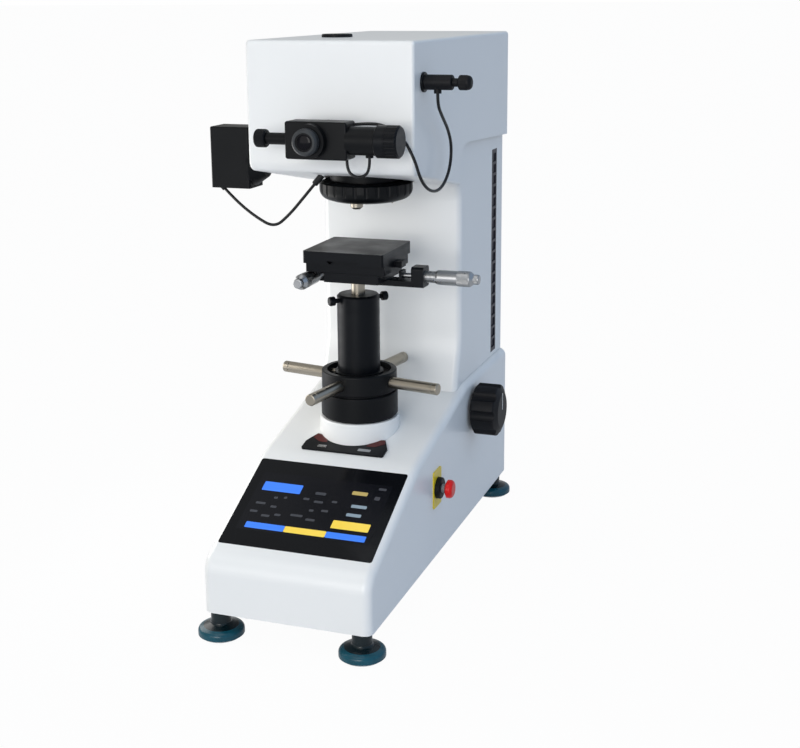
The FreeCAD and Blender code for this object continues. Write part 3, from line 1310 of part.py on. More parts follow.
def make_cord(name, points, radius):
    """A round cord swept along its route, moved to the machine's origin."""
    spots = [tuple(number(value) for value in point) for point in points]
    radius = number(radius)
    path, radii = cord_path(spots)
    way = Vector(*spots[1]) - Vector(*spots[0])
    ring = Part.Wire([Part.Circle(Vector(*spots[0]), way, radius).toShape()])
    solid = path.makePipeShell([ring], True, False)
    expected = math.pi * radius ** 2 * path.Length
    feature = DOC.addObject("Part::Feature", name)
    feature.Shape = solid
    feature.Placement = Placement(Vector(number(S.shift_x), number(S.shift_y), 0), UPRIGHT)
    feature.Label = name
    PARTS[name] = feature
    print(f"{name}: length {path.Length:.1f}, volume {solid.Volume / expected:.4f} of section x length,"
          f" radii {[round(value, 1) for value in radii]}")


def check_and_write():
    """Recomputes everything, stops on any failed object, and writes one file for each piece."""
    DOC.recompute()
    failed = [item.Name for item in DOC.Objects
              if {"Invalid", "Error"} & set(item.State) or "Touched" in item.State]
    for name, thing in PARTS.items():
        if thing.Shape.isNull() or not thing.Shape.isValid() or not thing.Shape.Solids:
            failed.append(name)
    if failed:
        raise RuntimeError(f"these failed: {failed}")
    os.makedirs("parts", exist_ok=True)
    for name, thing in PARTS.items():
        thing.Shape.exportStep(f"parts/{name}.step")
    print(f"{len(PARTS)} pieces, {sum(len(t.Shape.Solids) for t in PARTS.values())} solids")


make_base_shell()
make_screen()
make_base_plate()
make_feet()
make_boss()
make_trim_plate()
make_column()
make_side_vents()
make_head_cover()
make_head_arm()
make_rear_cover()
make_handwheel()
make_spokes()
make_lift()
make_stage()
make_micrometers()
make_turret()
make_turret_mount()
make_loading_train()
make_eyepiece()
make_lamp()
make_plug()
make_port_cap()
make_selector()
make_stop()
make_power_entry()
make_electronics()
make_cord("encoder_cord", encoder_route(), S.cord_radius)
make_cord("lamp_cord", lamp_route(), S.cord_radius)
make_cord("drum_cord", drum_route(), S.drum_cord_radius)
check_and_write()
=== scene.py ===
"""Looks of a bench hardness tester: finishes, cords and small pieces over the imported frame."""

import math

import bmesh
import bpy
import numpy as np
from mathutils import Matrix, Vector


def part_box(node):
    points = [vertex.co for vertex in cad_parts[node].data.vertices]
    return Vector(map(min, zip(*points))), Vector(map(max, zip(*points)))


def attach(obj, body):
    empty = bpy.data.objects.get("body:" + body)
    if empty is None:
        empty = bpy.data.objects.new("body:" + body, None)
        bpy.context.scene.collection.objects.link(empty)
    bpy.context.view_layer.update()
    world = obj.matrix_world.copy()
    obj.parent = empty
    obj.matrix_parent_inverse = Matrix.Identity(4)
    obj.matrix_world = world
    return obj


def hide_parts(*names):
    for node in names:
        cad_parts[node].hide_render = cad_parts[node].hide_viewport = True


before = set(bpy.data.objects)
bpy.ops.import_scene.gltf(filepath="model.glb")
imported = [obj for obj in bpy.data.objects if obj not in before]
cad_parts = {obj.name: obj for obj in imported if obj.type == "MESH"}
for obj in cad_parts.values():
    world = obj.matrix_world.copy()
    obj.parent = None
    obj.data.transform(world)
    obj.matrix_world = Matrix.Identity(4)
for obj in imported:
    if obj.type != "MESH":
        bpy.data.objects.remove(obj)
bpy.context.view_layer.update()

# The machine's own millimetres run from its middle plane, the front of the base and the floor.
BASE_LOW, BASE_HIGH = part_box("base_shell")
ORIGIN = np.array([(BASE_LOW.x + BASE_HIGH.x) / 2, BASE_LOW.y, 0.0])

# Depth and height of the base's nose, of the top of its slope and of the end of its deck.
NOSE = (0.0, 100.0)
SLOPE_TOP = (170.0, 179.5)
DECK_END = (385.0, 229.0)

# Depths of the test axis and the drum, and heights of the eyepiece and the stage's screws.
TEST_AXIS = 252.0
SIGHT_HEIGHT = 588.0
DRUM_AXIS = 122.0
X_SCREW_HEIGHT = 405.5
Y_SCREW_PLACE, Y_SCREW_HEIGHT = -51.5, 402.0
RIGHTWARD, LEFTWARD, FORWARD, REARWARD = (1, 0, 0), (-1, 0, 0), (0, -1, 0), (0, 1, 0)


def sloping_face(foot, head):
    """A sloping face by its foot and its tilt, from the depth and height of its two ends."""
    return (*foot, math.atan2(head[1] - foot[1], head[0] - foot[0]))


PANEL = sloping_face(NOSE, SLOPE_TOP)
DECK = sloping_face(SLOPE_TOP, DECK_END)


def to_frame(points):
    """Machine millimetres as metres in the model's frame."""
    return np.asarray(points, float) / 1000 + ORIGIN


def far_corner(name):
    """The corner of a CAD node that is furthest right, back and up, in machine millimetres."""
    return (np.array(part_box(name)[1]) - ORIGIN) * 1000


# Finishes. Each pattern is set in millimetres on Object coordinates.


def linear(hex_colour):
    """An sRGB hex colour as linear values."""
    parts = [int(hex_colour[i:i + 2], 16) / 255 for i in (1, 3, 5)]
    return [p / 12.92 if p <= 0.04045 else ((p + 0.055) / 1.055) ** 2.4 for p in parts] + [1.0]


def add(tree, kind, settings=None, links=None):
    """Adds one node: settings go to its properties or its unlinked inputs, links to its inputs."""
    node = tree.nodes.new(kind)
    for key, value in (settings or {}).items():
        if isinstance(key, str) and hasattr(node, key):
            setattr(node, key, value)
        else:
            node.inputs[key].default_value = value
    for key, socket in (links or {}).items():
        tree.links.new(socket, node.inputs[key])
    return node


def finish_of(name, hex_colour, metallic=0.0, roughness=0.5, ior=1.5, coat=0.0, coat_roughness=0.1):
    """A Principled finish with the values that are the same all over the surface."""
    material = bpy.data.materials.new(name)
    material.use_nodes = True
    tree = material.node_tree
    tree.nodes.clear()
    shader = add(tree, "ShaderNodeBsdfPrincipled", {
        "Base Color": linear(hex_colour), "Metallic": metallic, "Roughness": roughness, "IOR": ior,
        "Coat Weight": coat, "Coat Roughness": coat_roughness})
    add(tree, "ShaderNodeOutputMaterial", links={"Surface": shader.outputs["BSDF"]})
    return material, tree, shader


def mottle(tree, shader, hex_one, hex_two, patch):
    """Varies the colour softly between two shades, in patches of the given millimetres."""
    place = add(tree, "ShaderNodeTexCoord")
    cloud = add(tree, "ShaderNodeTexNoise", {"Scale": 1000 / patch, "Detail": 4.0},
                {"Vector": place.outputs["Object"]})
    mix = add(tree, "ShaderNodeMix", {"data_type": "RGBA", 6: linear(hex_one), 7: linear(hex_two)},
              {0: cloud.outputs["Fac"]})
    tree.links.new(mix.outputs[2], shader.inputs["Base Color"])


def scaled_place(tree, stretch):
    """Object coordinates scaled along each axis: a pattern is finer where the scale is larger."""
    place = add(tree, "ShaderNodeTexCoord")
    scaled = add(tree, "ShaderNodeMapping", {"Scale": stretch}, {"Vector": place.outputs["Object"]})
    return scaled.outputs["Vector"]


def grain(tree, shader, spacing, height, strength=1.0, stretch=(1, 1, 1)):
    """Fine relief of a spacing and height in millimetres."""
    pits = add(tree, "ShaderNodeTexNoise",
               {"Scale": 1000 / spacing, "Detail": 3.0, "Roughness": 0.55},
               {"Vector": scaled_place(tree, stretch)})
    relief = add(tree, "ShaderNodeBump", {"Strength": strength, "Distance": height / 1000},
                 {"Height": pits.outputs["Fac"]})
    tree.links.new(relief.outputs["Normal"], shader.inputs["Normal"])


def vary_roughness(tree, shader, low, high, patch, stretch=(1, 1, 1)):
    """Lets the roughness drift between two values, as handling and machining leave it."""
    cloud = add(tree, "ShaderNodeTexNoise", {"Scale": 1000 / patch, "Detail": 5.0},
                {"Vector": scaled_place(tree, stretch)})
    spread = add(tree, "ShaderNodeMapRange", {"From Min": 0.3, "From Max": 0.7, "To Min": low,
                                              "To Max": high}, {"Value": cloud.outputs["Fac"]})
    tree.links.new(spread.outputs["Result"], shader.inputs["Roughness"])


def surface(name, hex_colour, shades=None, relief=None, wear=None, **values):
    """A finish with patterns, all in millimetres.

    shades: two colours and the width of their drifts. relief: a spacing, a height and a strength.
    wear: the lowest and the highest roughness and the width of their drifts. A last triple scales
    relief or wear along each axis."""
    material, tree, shader = finish_of(name, hex_colour, **values)
    if shades:
        mottle(tree, shader, *shades)
    if relief:
        grain(tree, shader, *relief)
    if wear:
        vary_roughness(tree, shader, *wear)
    return material


def lit(name, hex_colour, hex_edge, glow):
    """A backlit field of the display: it glows a little, with drifts of colour 40 mm wide."""
    material, tree, shader = finish_of(name, hex_colour, roughness=0.25, ior=1.3)
    mottle(tree, shader, hex_colour, hex_edge, 40)
    shader.inputs["Emission Color"].default_value = linear(hex_colour)
    shader.inputs["Emission Strength"].default_value = glow
    return material


# Heights in the foot, in metres: the pad ends at the first and the disc at the second; above the
# disc the colour is painted shade.
PAD_TOP, DISC_TOP = 0.0029, 0.0135


def foot_finish():
    """Foot: light grey rubber pad 3 mm thick, teal nylon disc mottled over 17 mm, and painted shade
    above the disc, near black, for the shade under the base.
    """
    material, tree, shader = finish_of("teal black nylon foot", "#0C4B58", roughness=0.2, ior=1.4)
    place = add(tree, "ShaderNodeTexCoord")
    split = add(tree, "ShaderNodeSeparateXYZ", links={"Vector": place.outputs["Object"]})
    over_pad, painted_shade_above_disc = (
        add(tree, "ShaderNodeMath", {"operation": "GREATER_THAN", 1: height},
            {0: split.outputs["Z"]})
        for height in (PAD_TOP, DISC_TOP))
    cloud = add(tree, "ShaderNodeTexNoise", {"Scale": 60.0, "Detail": 4.0},
                {"Vector": place.outputs["Object"]})
    nylon = add(tree, "ShaderNodeMix", {"data_type": "RGBA", 6: linear("#083743"),
                                        7: linear("#0D5465")}, {0: cloud.outputs["Fac"]})
    # Above the disc the colour is painted shade: near black, for the shade that the base casts on
    # the shank.
    moulded = add(tree, "ShaderNodeMix", {"data_type": "RGBA", 7: linear("#06181D")},
                  {0: painted_shade_above_disc.outputs[0], 6: nylon.outputs[2]})
    whole = add(tree, "ShaderNodeMix", {"data_type": "RGBA", 6: linear("#B9BDBF")},
                {0: over_pad.outputs[0], 7: moulded.outputs[2]})
    tree.links.new(whole.outputs[2], shader.inputs["Base Color"])
    rough = add(tree, "ShaderNodeMapRange", {"To Min": 0.7, "To Max": 0.25},
                {"Value": over_pad.outputs[0]})
    tree.links.new(rough.outputs["Result"], shader.inputs["Roughness"])
    return material


FINISHES = {
    # Two-pack enamel, sprayed and baked: satin white, with orange peel 2.5 mm wide.
    "white": surface(
        "white baked enamel", "#E8EAE9", ("#E6E8E7", "#EBECEB", 180), (2.5, 0.02, 0.35),
        roughness=0.33, coat=0.15, coat_roughness=0.2),
    # Stoving enamel on turned and cast parts: near-black satin, with a 1.2 mm texture.
    "black": surface(
        "black stoving enamel", "#090B0D", ("#080A0C", "#0D0F12", 60), (1.2, 0.03, 0.5),
        (0.32, 0.5, 40), roughness=0.42, ior=1.24),
    # Turned and chemically blackened steel: oiled, with turning marks 0.8 mm apart across its axis.
    "blackened": surface(
        "blackened steel", "#0C0E12", ("#0B0D11", "#0F1216", 45), (0.8, 0.008, 0.3, (0.4, 0.4, 6)),
        (0.3, 0.42, 30, (1, 1, 4)), metallic=0.3, roughness=0.36, ior=1.27),
    # Ground tool steel: mid-grey, with lines 0.8 mm apart, coarse enough to show.
    "ground": surface(
        "ground steel", "#A9ADB2", None, (0.8, 0.006, 0.3, (0.3, 1, 8)),
        (0.2, 0.36, 8, (1, 1, 10)), metallic=1.0, roughness=0.28),
    # Dull nickel: warm grey, browned by handling in drifts 40 mm wide.
    "nickel": surface(
        "dull nickel", "#A39C8F", ("#9C9588", "#ABA497", 40), None, (0.26, 0.32, 120),
        metallic=1.0, roughness=0.24),
    # Satin chrome of measuring tools: non-glare plating, with a matt grain of 0.6 mm.
    "satin": surface(
        "satin chrome", "#A6A8AA", None, (0.6, 0.008, 0.3), (0.24, 0.36, 15),
        metallic=1.0, roughness=0.3),
    # Zinc-plated sheet: bluish grey, with soft cloudy spangle 15 mm wide.
    "zinc": surface(
        "zinc plated sheet", "#9CA3A8", ("#8F969C", "#ABB1B6", 15), None, (0.34, 0.48, 15),
        metallic=1.0, roughness=0.4),
    # Moulded plastics: matt or satin, with spark-eroded textures 0.9 and 1 mm wide.
    "abs": surface(
        "black moulded ABS", "#0C0D10", ("#0A0B0E", "#101115", 50), (0.9, 0.02, 0.5), ior=1.27),
    "vent": surface(
        "purple grey vent plastic", "#25232E", ("#211F29", "#2A2834", 40), (1.0, 0.02, 0.4),
        roughness=0.45, ior=1.4),
    "ocular": surface(
        "dark grey ocular plastic", "#2A2E31", ("#272A2D", "#2E3235", 40), (1.0, 0.02, 0.4),
        roughness=0.45, ior=1.4),
    "grey": surface(
        "grey moulded ABS", "#7D8285", ("#787D80", "#84898C", 50), (0.9, 0.02, 0.4), ior=1.54),
    # Cover glass printed black on its back: glossy, with smears of fingers 90 mm wide.
    "glass": surface(
        "black cover glass", "#0B0C11", ("#0A0B0E", "#111317", 90), None, (0.08, 0.16, 90),
        roughness=0.1, ior=1.27),
    # Stop button and its plate: red nylon, and yellow lacquer with light orange peel 2 mm wide.
    "red": surface(
        "red nylon", "#DC0E0E", ("#D40C0C", "#E41414", 10), (1.5, 0.01, 0.3),
        roughness=0.3, ior=1.38),
    "yellow": surface(
        "yellow lacquer", "#E3C81C", ("#DDC016", "#E8CE26", 20), (2.0, 0.015, 0.3), roughness=0.35),
    "foot": foot_finish(),
    # PVC jacket of a thin lead: soft sheen, with draw marks 0.7 mm apart.
    "jacket": surface(
        "black PVC jacket", "#101113", ("#0E0F11", "#151618", 8), (0.7, 0.01, 0.4),
        roughness=0.42, ior=1.35),
    # Glass-fibre laminate under green solder mask: its weave shows at 1 mm.
    "laminate": surface(
        "green circuit laminate", "#1E5B34", ("#1A5230", "#23673C", 6), (1.0, 0.01, 0.3),
        roughness=0.35, ior=1.55),
    # Paint wiped into engraved marks, uneven over 5 mm.
    "white mark": surface(
        "white mark paint", "#E9EAE6", ("#E3E4E0", "#EEEFEC", 5), roughness=0.6),
    "black mark": surface(
        "black mark paint", "#101112", ("#0D0E0F", "#161718", 5), roughness=0.6),
    # Coated optical glass: almost black, mirror-smooth, faintly violet in drifts 12 mm wide.
    "lens": surface(
        "coated lens glass", "#07070B", ("#060609", "#0B0A12", 12), roughness=0.05, ior=1.22),
    # Lacquer inlay of the trim plate: reddish brown satin, with drifts 9 mm wide.
    "inlay": surface(
        "red-brown lacquer", "#451518", ("#3A0F16", "#5E241B", 9), (1.5, 0.01, 0.3),
        roughness=0.34, ior=1.3),
    "display": lit("dark display ground", "#080A10", "#0B0D14", 0.05),
    "blue field": lit("blue display field", "#3577E6", "#4A80E8", 0.28),
    "gold field": lit("yellow display field", "#E6C548", "#EDD160", 0.25),
    "dull gold": lit("dull yellow display field", "#A8945A", "#B8A565", 0.2),
    "pale field": lit("pale display field", "#7C8E9B", "#8C9CA6", 0.15),
    "dim field": lit("dim display field", "#3A3F46", "#474649", 0.15),
}

NODE_FINISHES = {
    "white": ["base_shell", "boss_ring", "column_frame", "head_cover", "rear_cover"],
    "black": ["trim_plate", "handwheel", "sight_tube", "lamp_house", "turret", "turret_mount",
              "eyepiece_block"],
    "blackened": ["lifting_column", "clamp_screw_front", "clamp_screw_rear", "stage_base",
                  "stage_middle", "stage_top", "measuring_drum", "adjusting_knob", "lamp_screw",
                  "plug_socket"],
    "ground": ["lift_guide", "load_lever", "loading_spindle", "weight_stack", "cover_screws"],
    "nickel": ["handwheel_spokes", "objectives", "indenter", "stage_spigot"],
    "satin": ["x_barrel", "y_barrel", "x_thimble", "y_thimble"],
    "zinc": ["base_plate", "head_arm", "power_supply"],
    "abs": ["display_module", "encoder_plug", "port_cap", "power_inlet", "selector_knob",
            "stop_collar", "rocker_switch"],
    "ocular": ["diopter_ring"],
    "vent": ["side_vents"],
    "grey": ["stop_stem"],
    "glass": ["touch_panel"],
    "red": ["stop_button"],
    "yellow": ["stop_plate"],
    "foot": ["foot_front_left", "foot_front_right", "foot_rear_left", "foot_rear_right"],
    "laminate": ["control_board"],
}


def dress_nodes():
    """Gives each CAD node that stays in view its finish."""
    for finish, names in NODE_FINISHES.items():
        for name in names:
            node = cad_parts[name]
            for slot in node.material_slots:
                slot.material = FINISHES[finish]


# Surfaces worked out with numpy.


def make_piece(name, points, faces, finish, body, smooth=True):
    """A mesh piece from machine millimetres, with its finish, riding on its body."""
    mesh = bpy.data.meshes.new(name)
    mesh.from_pydata(to_frame(points).tolist(), [], faces)
    mesh.polygons.foreach_set("use_smooth", np.full(len(mesh.polygons), smooth))
    mesh.materials.append(FINISHES[finish])
    mesh.update()
    piece = bpy.data.objects.new(name, mesh)
    bpy.context.collection.objects.link(piece)
    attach(piece, body)
    return piece


def axis_frame(axis):
    """Two directions across an axis and the axis itself, right-handed."""
    along = np.asarray(axis, float) / np.linalg.norm(axis)
    helper = np.array([0.0, 0.0, 1.0]) if abs(along[2]) < 0.9 else np.array([1.0, 0.0, 0.0])
    across = np.cross(helper, along)
    across /= np.linalg.norm(across)
    return across, np.cross(along, across), along


def turned(name, profile, origin, axis, finish, body, ridges=0, depth=0.0, ridged=None):
    """A surface of revolution: point = origin + h * axis + r * (cos t * a + sin t * b).

    Where ridged says so, r shrinks by depth * (1 - |sin(ridges * t / 2)|), which cuts grooves.
    A closed profile gives a ring, and one that starts and ends at r = 0 a solid."""
    across, other, along = axis_frame(axis)
    sides = max(48, ridges * 6)
    t = np.linspace(0, 2 * np.pi, sides, endpoint=False)
    r, h = np.array(profile, float).T
    mask = np.ones(len(r)) if ridged is None else np.array(ridged, float)
    groove = depth * (1 - np.abs(np.sin(ridges * t / 2))) if ridges else np.zeros(sides)
    radius = np.maximum(r[:, None] - mask[:, None] * groove[None, :], 0)
    around = np.cos(t)[None, :, None] * across + np.sin(t)[None, :, None] * other
    grid = np.asarray(origin, float) + h[:, None, None] * along + radius[..., None] * around
    count = len(r)
    i, j = np.meshgrid(np.arange(count - 1), np.arange(sides), indexing="ij")
    k = (j + 1) % sides
    quads = np.stack([i * sides + j, i * sides + k, (i + 1) * sides + k, (i + 1) * sides + j], -1)
    faces = quads.reshape(-1, 4).tolist()
    tidy_mesh(make_piece(name, grid.reshape(-1, 3), faces, finish, body))


SHARP_ANGLE = math.radians(35)


def tidy_mesh(piece):
    """Merges double points, drops empty faces, turns faces outwards and marks sharp edges."""
    work = bmesh.new()
    work.from_mesh(piece.data)
    bmesh.ops.remove_doubles(work, verts=work.verts, dist=1e-6)
    bmesh.ops.dissolve_degenerate(work, dist=1e-7, edges=work.edges)
    bmesh.ops.recalc_face_normals(work, faces=work.faces)
    for edge in work.edges:
        edge.smooth = len(edge.link_faces) != 2 or edge.calc_face_angle(0) < SHARP_ANGLE
    work.to_mesh(piece.data)
    work.free()


def rounded_outline(width, height, radius, steps=5):
    """Rounded rectangle about its centre: four quarter arcs joined by straight sides."""
    corners = [(1, 1, 0), (-1, 1, 90), (-1, -1, 180), (1, -1, 270)]
    points = []
    for sx, sy, start in corners:
        t = np.radians(start + np.linspace(0, 90, steps))
        points.append(np.stack([sx * (width / 2 - radius) + radius * np.cos(t),
                                sy * (height / 2 - radius) + radius * np.sin(t)], 1))
    return np.concatenate(points)


def tile(name, outline, thick, place, finish, body):
    """A flat plate: an outline (u, v) raised by its thickness, which place puts in the machine."""
    outline = np.asarray(outline, float)
    count = len(outline)
    low = np.column_stack([outline, np.zeros(count)])
    high = np.column_stack([outline, np.full(count, thick)])
    points = place(np.concatenate([low, high]))
    i = np.arange(count)
    k = (i + 1) % count
    sides = np.stack([i, k, k + count, i + count], 1).tolist()
    faces = sides + [(i + count).tolist(), i[::-1].tolist()]
    tidy_mesh(make_piece(name, points, faces, finish, body, smooth=False))


def on_slope(face, middle_x, along, lift=0.0):
    """Places (u, v, w) on a sloping face: u across it, v up from its foot, w out of it."""
    foot_y, foot_z, tilt = face

    def place(points):
        u, v, w = points.T
        s, out = v + along, w + lift
        return np.stack([u + middle_x, foot_y + s * math.cos(tilt) - out * math.sin(tilt),
                         foot_z + s * math.sin(tilt) + out * math.cos(tilt)], 1)
    return place


def on_plane(origin, right, up):
    """Places (u, v, w) on a plane: w points along right x up."""
    origin, right, up = (np.asarray(v, float) for v in (origin, right, up))
    out = np.cross(right, up)

    def place(points):
        return origin + points[:, :1] * right + points[:, 1:2] * up + points[:, 2:] * out
    return place


# Cords. The routes repeat those of the CAD, in millimetres.

ENCODER_ROUTE = [
    (12, 161, 600), (12, 149, 600), (21.5, 139.5, 601.5), (49, 144, 606), (75, 149.5, 605),
    (97, 151.5, 591), (112, 150, 566), (116.5, 158, 541), (119, 181, 525), (120, 212, 520),
    (120, 241, 526), (120, 264, 543), (120, 270, 569), (121, 252, 591), (124, 215, 612),
    (125, 198, 625), (125, 198, 638),
]
LAMP_ROUTE = [
    (-166, 215, 512), (-150, 215.3, 496), (-126, 216, 478), (-99, 216.5, 464), (-78, 218, 482),
    (-60, 220, 503), (-44, 222, 522),
]
DRUM_ROUTE = [
    (39, 122, 566), (39, 122, 554.4), (47.2, 122, 546.2), (58.8, 122, 546.2), (67, 122, 554.4),
    (67, 122, 569),
]


def make_cord(name, route, radius, node, body):
    """A round lead along a smooth spline through its route's control points."""
    curve = bpy.data.curves.new(name, "CURVE")
    curve.dimensions = "3D"
    spline = curve.splines.new("NURBS")
    spline.points.add(len(route) - 1)
    for point, spot in zip(spline.points, to_frame(route)):
        point.co = (*spot, 1.0)
    spline.order_u = 3
    spline.use_endpoint_u = True
    spline.resolution_u = 12
    curve.bevel_depth = radius / 1000
    curve.bevel_resolution = 5
    curve.use_fill_caps = True
    curve.materials.append(FINISHES["jacket"])
    piece = bpy.data.objects.new(name, curve)
    bpy.context.collection.objects.link(piece)
    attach(piece, body)
    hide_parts(node)


def make_cords():
    """The three short leads, each held at both ends."""
    make_cord("encoder_lead", ENCODER_ROUTE, 1.9, "encoder_cord", "machine_frame")
    make_cord("lamp_lead", LAMP_ROUTE, 1.9, "lamp_cord", "machine_frame")
    make_cord("drum_lead", DRUM_ROUTE, 1.75, "drum_cord", "eyepiece")


# Camera, floor and light.

CAMERA_PLACE = (610.1, -1318.9, 749.2)
CAMERA_AZIMUTH, CAMERA_PITCH, CAMERA_ROLL = 19.4, 13.163, -0.434
FOCAL_LENGTH, SENSOR_WIDTH, LENS_SHIFT = 60.30, 36.0, -0.08
FLOOR_REACH, FAR_LIMIT = 150, 400
FLOOR_GREY = (0.6, 0.62, 0.66, 1.0)
FLOOR_GLOW, MIRRORED_GLOW = 0.97, 0.4
LAMP_COLOUR = (1.0, 0.972, 0.94)
LAMP_TARGET = Vector((0, 0, 0.3))

# Name, place and size in metres, and power in watts.
LAMPS = [
    ("key", (-1.6, -4.8, 1.0), 2.4, 26.0),
    ("front", (0.3, -5.0, 1.2), 2.2, 90.0),
    ("top", (-0.2, -0.9, 2.3), 1.4, 8.0),
    ("throat card", (-0.45, -0.1, 0.34), 0.4, 1.4),
]
ROOM_LEFT, ROOM_RIGHT = (0.5, 0.5, 0.49, 1.0), (0.41, 0.525, 0.695, 1.0)
ROOM_TURN = (-0.15, 0.5)
WHITE = (1.0, 1.0, 1.0, 1.0)


def make_camera():
    """Camera at the photograph's place: turned to the left, pitched down, with a small roll."""
    azimuth, pitch, roll = (math.radians(v) for v in (CAMERA_AZIMUTH, CAMERA_PITCH, CAMERA_ROLL))
    ahead = Vector((-math.sin(azimuth) * math.cos(pitch), math.cos(azimuth) * math.cos(pitch),
                    -math.sin(pitch)))
    right = Vector((math.cos(azimuth), math.sin(azimuth), 0))
    up = right.cross(ahead)
    right, up = (right * math.cos(roll) + up * math.sin(roll),
                 up * math.cos(roll) - right * math.sin(roll))
    lens = bpy.data.cameras.new("photograph")
    lens.lens = FOCAL_LENGTH
    lens.sensor_width = SENSOR_WIDTH
    lens.sensor_fit = "HORIZONTAL"
    lens.shift_y = LENS_SHIFT
    lens.clip_end = FAR_LIMIT
    camera = bpy.data.objects.new("photograph", lens)
    turn = Matrix((right, up, -ahead)).transposed().to_4x4()
    camera.matrix_world = Matrix.Translation(Vector(to_frame([CAMERA_PLACE])[0])) @ turn
    bpy.context.collection.objects.link(camera)
    bpy.context.scene.camera = camera


def make_floor():
    """Plain pale floor, which the camera and reflections see almost white, with the shadow kept."""
    mesh = bpy.data.meshes.new("floor")
    corners = [(x * FLOOR_REACH, y * FLOOR_REACH, 0)
               for x, y in ((-1, -1), (1, -1), (1, 1), (-1, 1))]
    mesh.from_pydata(corners, [], [(0, 1, 2, 3)])
    floor = bpy.data.objects.new("floor", mesh)
    bpy.context.collection.objects.link(floor)
    material = bpy.data.materials.new("pale floor")
    material.use_nodes = True
    tree = material.node_tree
    tree.nodes.clear()
    matt = add(tree, "ShaderNodeBsdfDiffuse", {"Color": FLOOR_GREY})
    glow = add(tree, "ShaderNodeEmission", {"Color": WHITE, "Strength": 1.0})
    path = add(tree, "ShaderNodeLightPath")
    direct = add(tree, "ShaderNodeMath", {"operation": "MULTIPLY", 1: FLOOR_GLOW},
                 {0: path.outputs["Is Camera Ray"]})
    mirrored = add(tree, "ShaderNodeMath", {"operation": "MULTIPLY", 1: MIRRORED_GLOW},
                   {0: path.outputs["Is Glossy Ray"]})
    part = add(tree, "ShaderNodeMath", {"operation": "MAXIMUM"},
               {0: direct.outputs[0], 1: mirrored.outputs[0]})
    mix = add(tree, "ShaderNodeMixShader", {},
              {0: part.outputs[0], 1: matt.outputs[0], 2: glow.outputs[0]})
    add(tree, "ShaderNodeOutputMaterial", links={"Surface": mix.outputs[0]})
    mesh.materials.append(material)


def make_lamps():
    """Three large soft lamps, and a card beside the throat that lights the column."""
    for name, spot, size, power in LAMPS:
        light = bpy.data.lights.new(name, "AREA")
        light.size = size
        light.energy = power
        light.color = LAMP_COLOUR
        lamp = bpy.data.objects.new(name, light)
        lamp.location = spot
        lamp.visible_camera = False
        lamp.rotation_euler = (LAMP_TARGET - Vector(spot)).to_track_quat("-Z", "Y").to_euler()
        bpy.context.collection.objects.link(lamp)


def make_room():
    """A room that lights neutral from the left and blue-grey from the right, and looks white."""
    world = bpy.data.worlds.new("pale room")
    world.use_nodes = True
    tree = world.node_tree
    tree.nodes.clear()
    place = add(tree, "ShaderNodeTexCoord")
    split = add(tree, "ShaderNodeSeparateXYZ", links={"Vector": place.outputs["Generated"]})
    across = add(tree, "ShaderNodeMapRange", {"From Min": ROOM_TURN[0], "From Max": ROOM_TURN[1]},
                 {"Value": split.outputs["X"]})
    side = add(tree, "ShaderNodeMix", {"data_type": "RGBA", 6: ROOM_LEFT, 7: ROOM_RIGHT},
               {0: across.outputs["Result"]})
    room = add(tree, "ShaderNodeBackground", {"Strength": 1.0}, {"Color": side.outputs[2]})
    white = add(tree, "ShaderNodeBackground", {"Color": WHITE, "Strength": 1.0})
    path = add(tree, "ShaderNodeLightPath")
    mix = add(tree, "ShaderNodeMixShader", {},
              {0: path.outputs["Is Camera Ray"], 1: room.outputs[0], 2: white.outputs[0]})
    add(tree, "ShaderNodeOutputWorld", links={"Surface": mix.outputs[0]})
    bpy.context.scene.world = world
    bpy.context.scene.view_settings.view_transform = "Standard"


# Small pieces over the frame. Lengths are in machine millimetres.

GROUND_THICK, FIELD_THICK, INLAY_THICK = 0.08, 0.1, 0.25
TRIM_TOP = 2.5

# Name, place across, distance up the slope, width, height and finish.
FIELDS = [
    ("reading", -52.4, 129.5, 51.5, 15, "blue field"),
    ("start", 55.2, 81, 48, 13, "gold field"),
    ("key_left", -50.2, 63.5, 51, 9.5, "blue field"),
    ("key_middle", 2.3, 63.5, 53.5, 9.5, "gold field"),
    ("key_right", 54.6, 63.5, 50.8, 9.5, "blue field"),
    ("scale", 49, 134.8, 20, 6, "dull gold"),
    ("caption_a", 0, 127, 14, 4.5, "dim field"),
    ("caption_b", 55, 113.2, 20, 5, "pale field"),
    ("caption_c", 53, 98.6, 19, 5, "pale field"),
    ("time", 75, 146, 10, 4, "dim field"),
    ("mode", 73, 130, 7, 6, "dim field"),
]

# Place across, distance up the slope and width of the small fields.
VALUES = [(-15, 115.7, 8), (2, 113, 12), (-70.4, 100.2, 13), (-74, 86, 10), (-51.7, 96.6, 8),
          (-56.4, 80.7, 11), (-41.6, 84.2, 8), (-17.4, 87.1, 16), (2, 82.8, 12), (-2, 98, 6),
          (15, 99.8, 9), (-54.3, 111.6, 5), (-42, 113.5, 4), (22, 116.2, 7)]
VALUE_HEIGHT, FIELD_CORNER = 3.6, 1.2


def make_screen():
    """Plain fields of the touch display, each a thin tile on the cover glass, with no lettering."""
    tile("display_ground", rounded_outline(172, 98, 2), GROUND_THICK, on_slope(PANEL, 0, 104),
         "display", "machine_frame")
    values = [(f"value_{i}", x, along, width, VALUE_HEIGHT, "dim field")
              for i, (x, along, width) in enumerate(VALUES)]
    for name, x, along, width, height, finish in FIELDS + values:
        tile(f"display_{name}", rounded_outline(width, height, min(FIELD_CORNER, height / 3)),
             FIELD_THICK, on_slope(PANEL, x, along, GROUND_THICK), finish,
             "machine_frame")


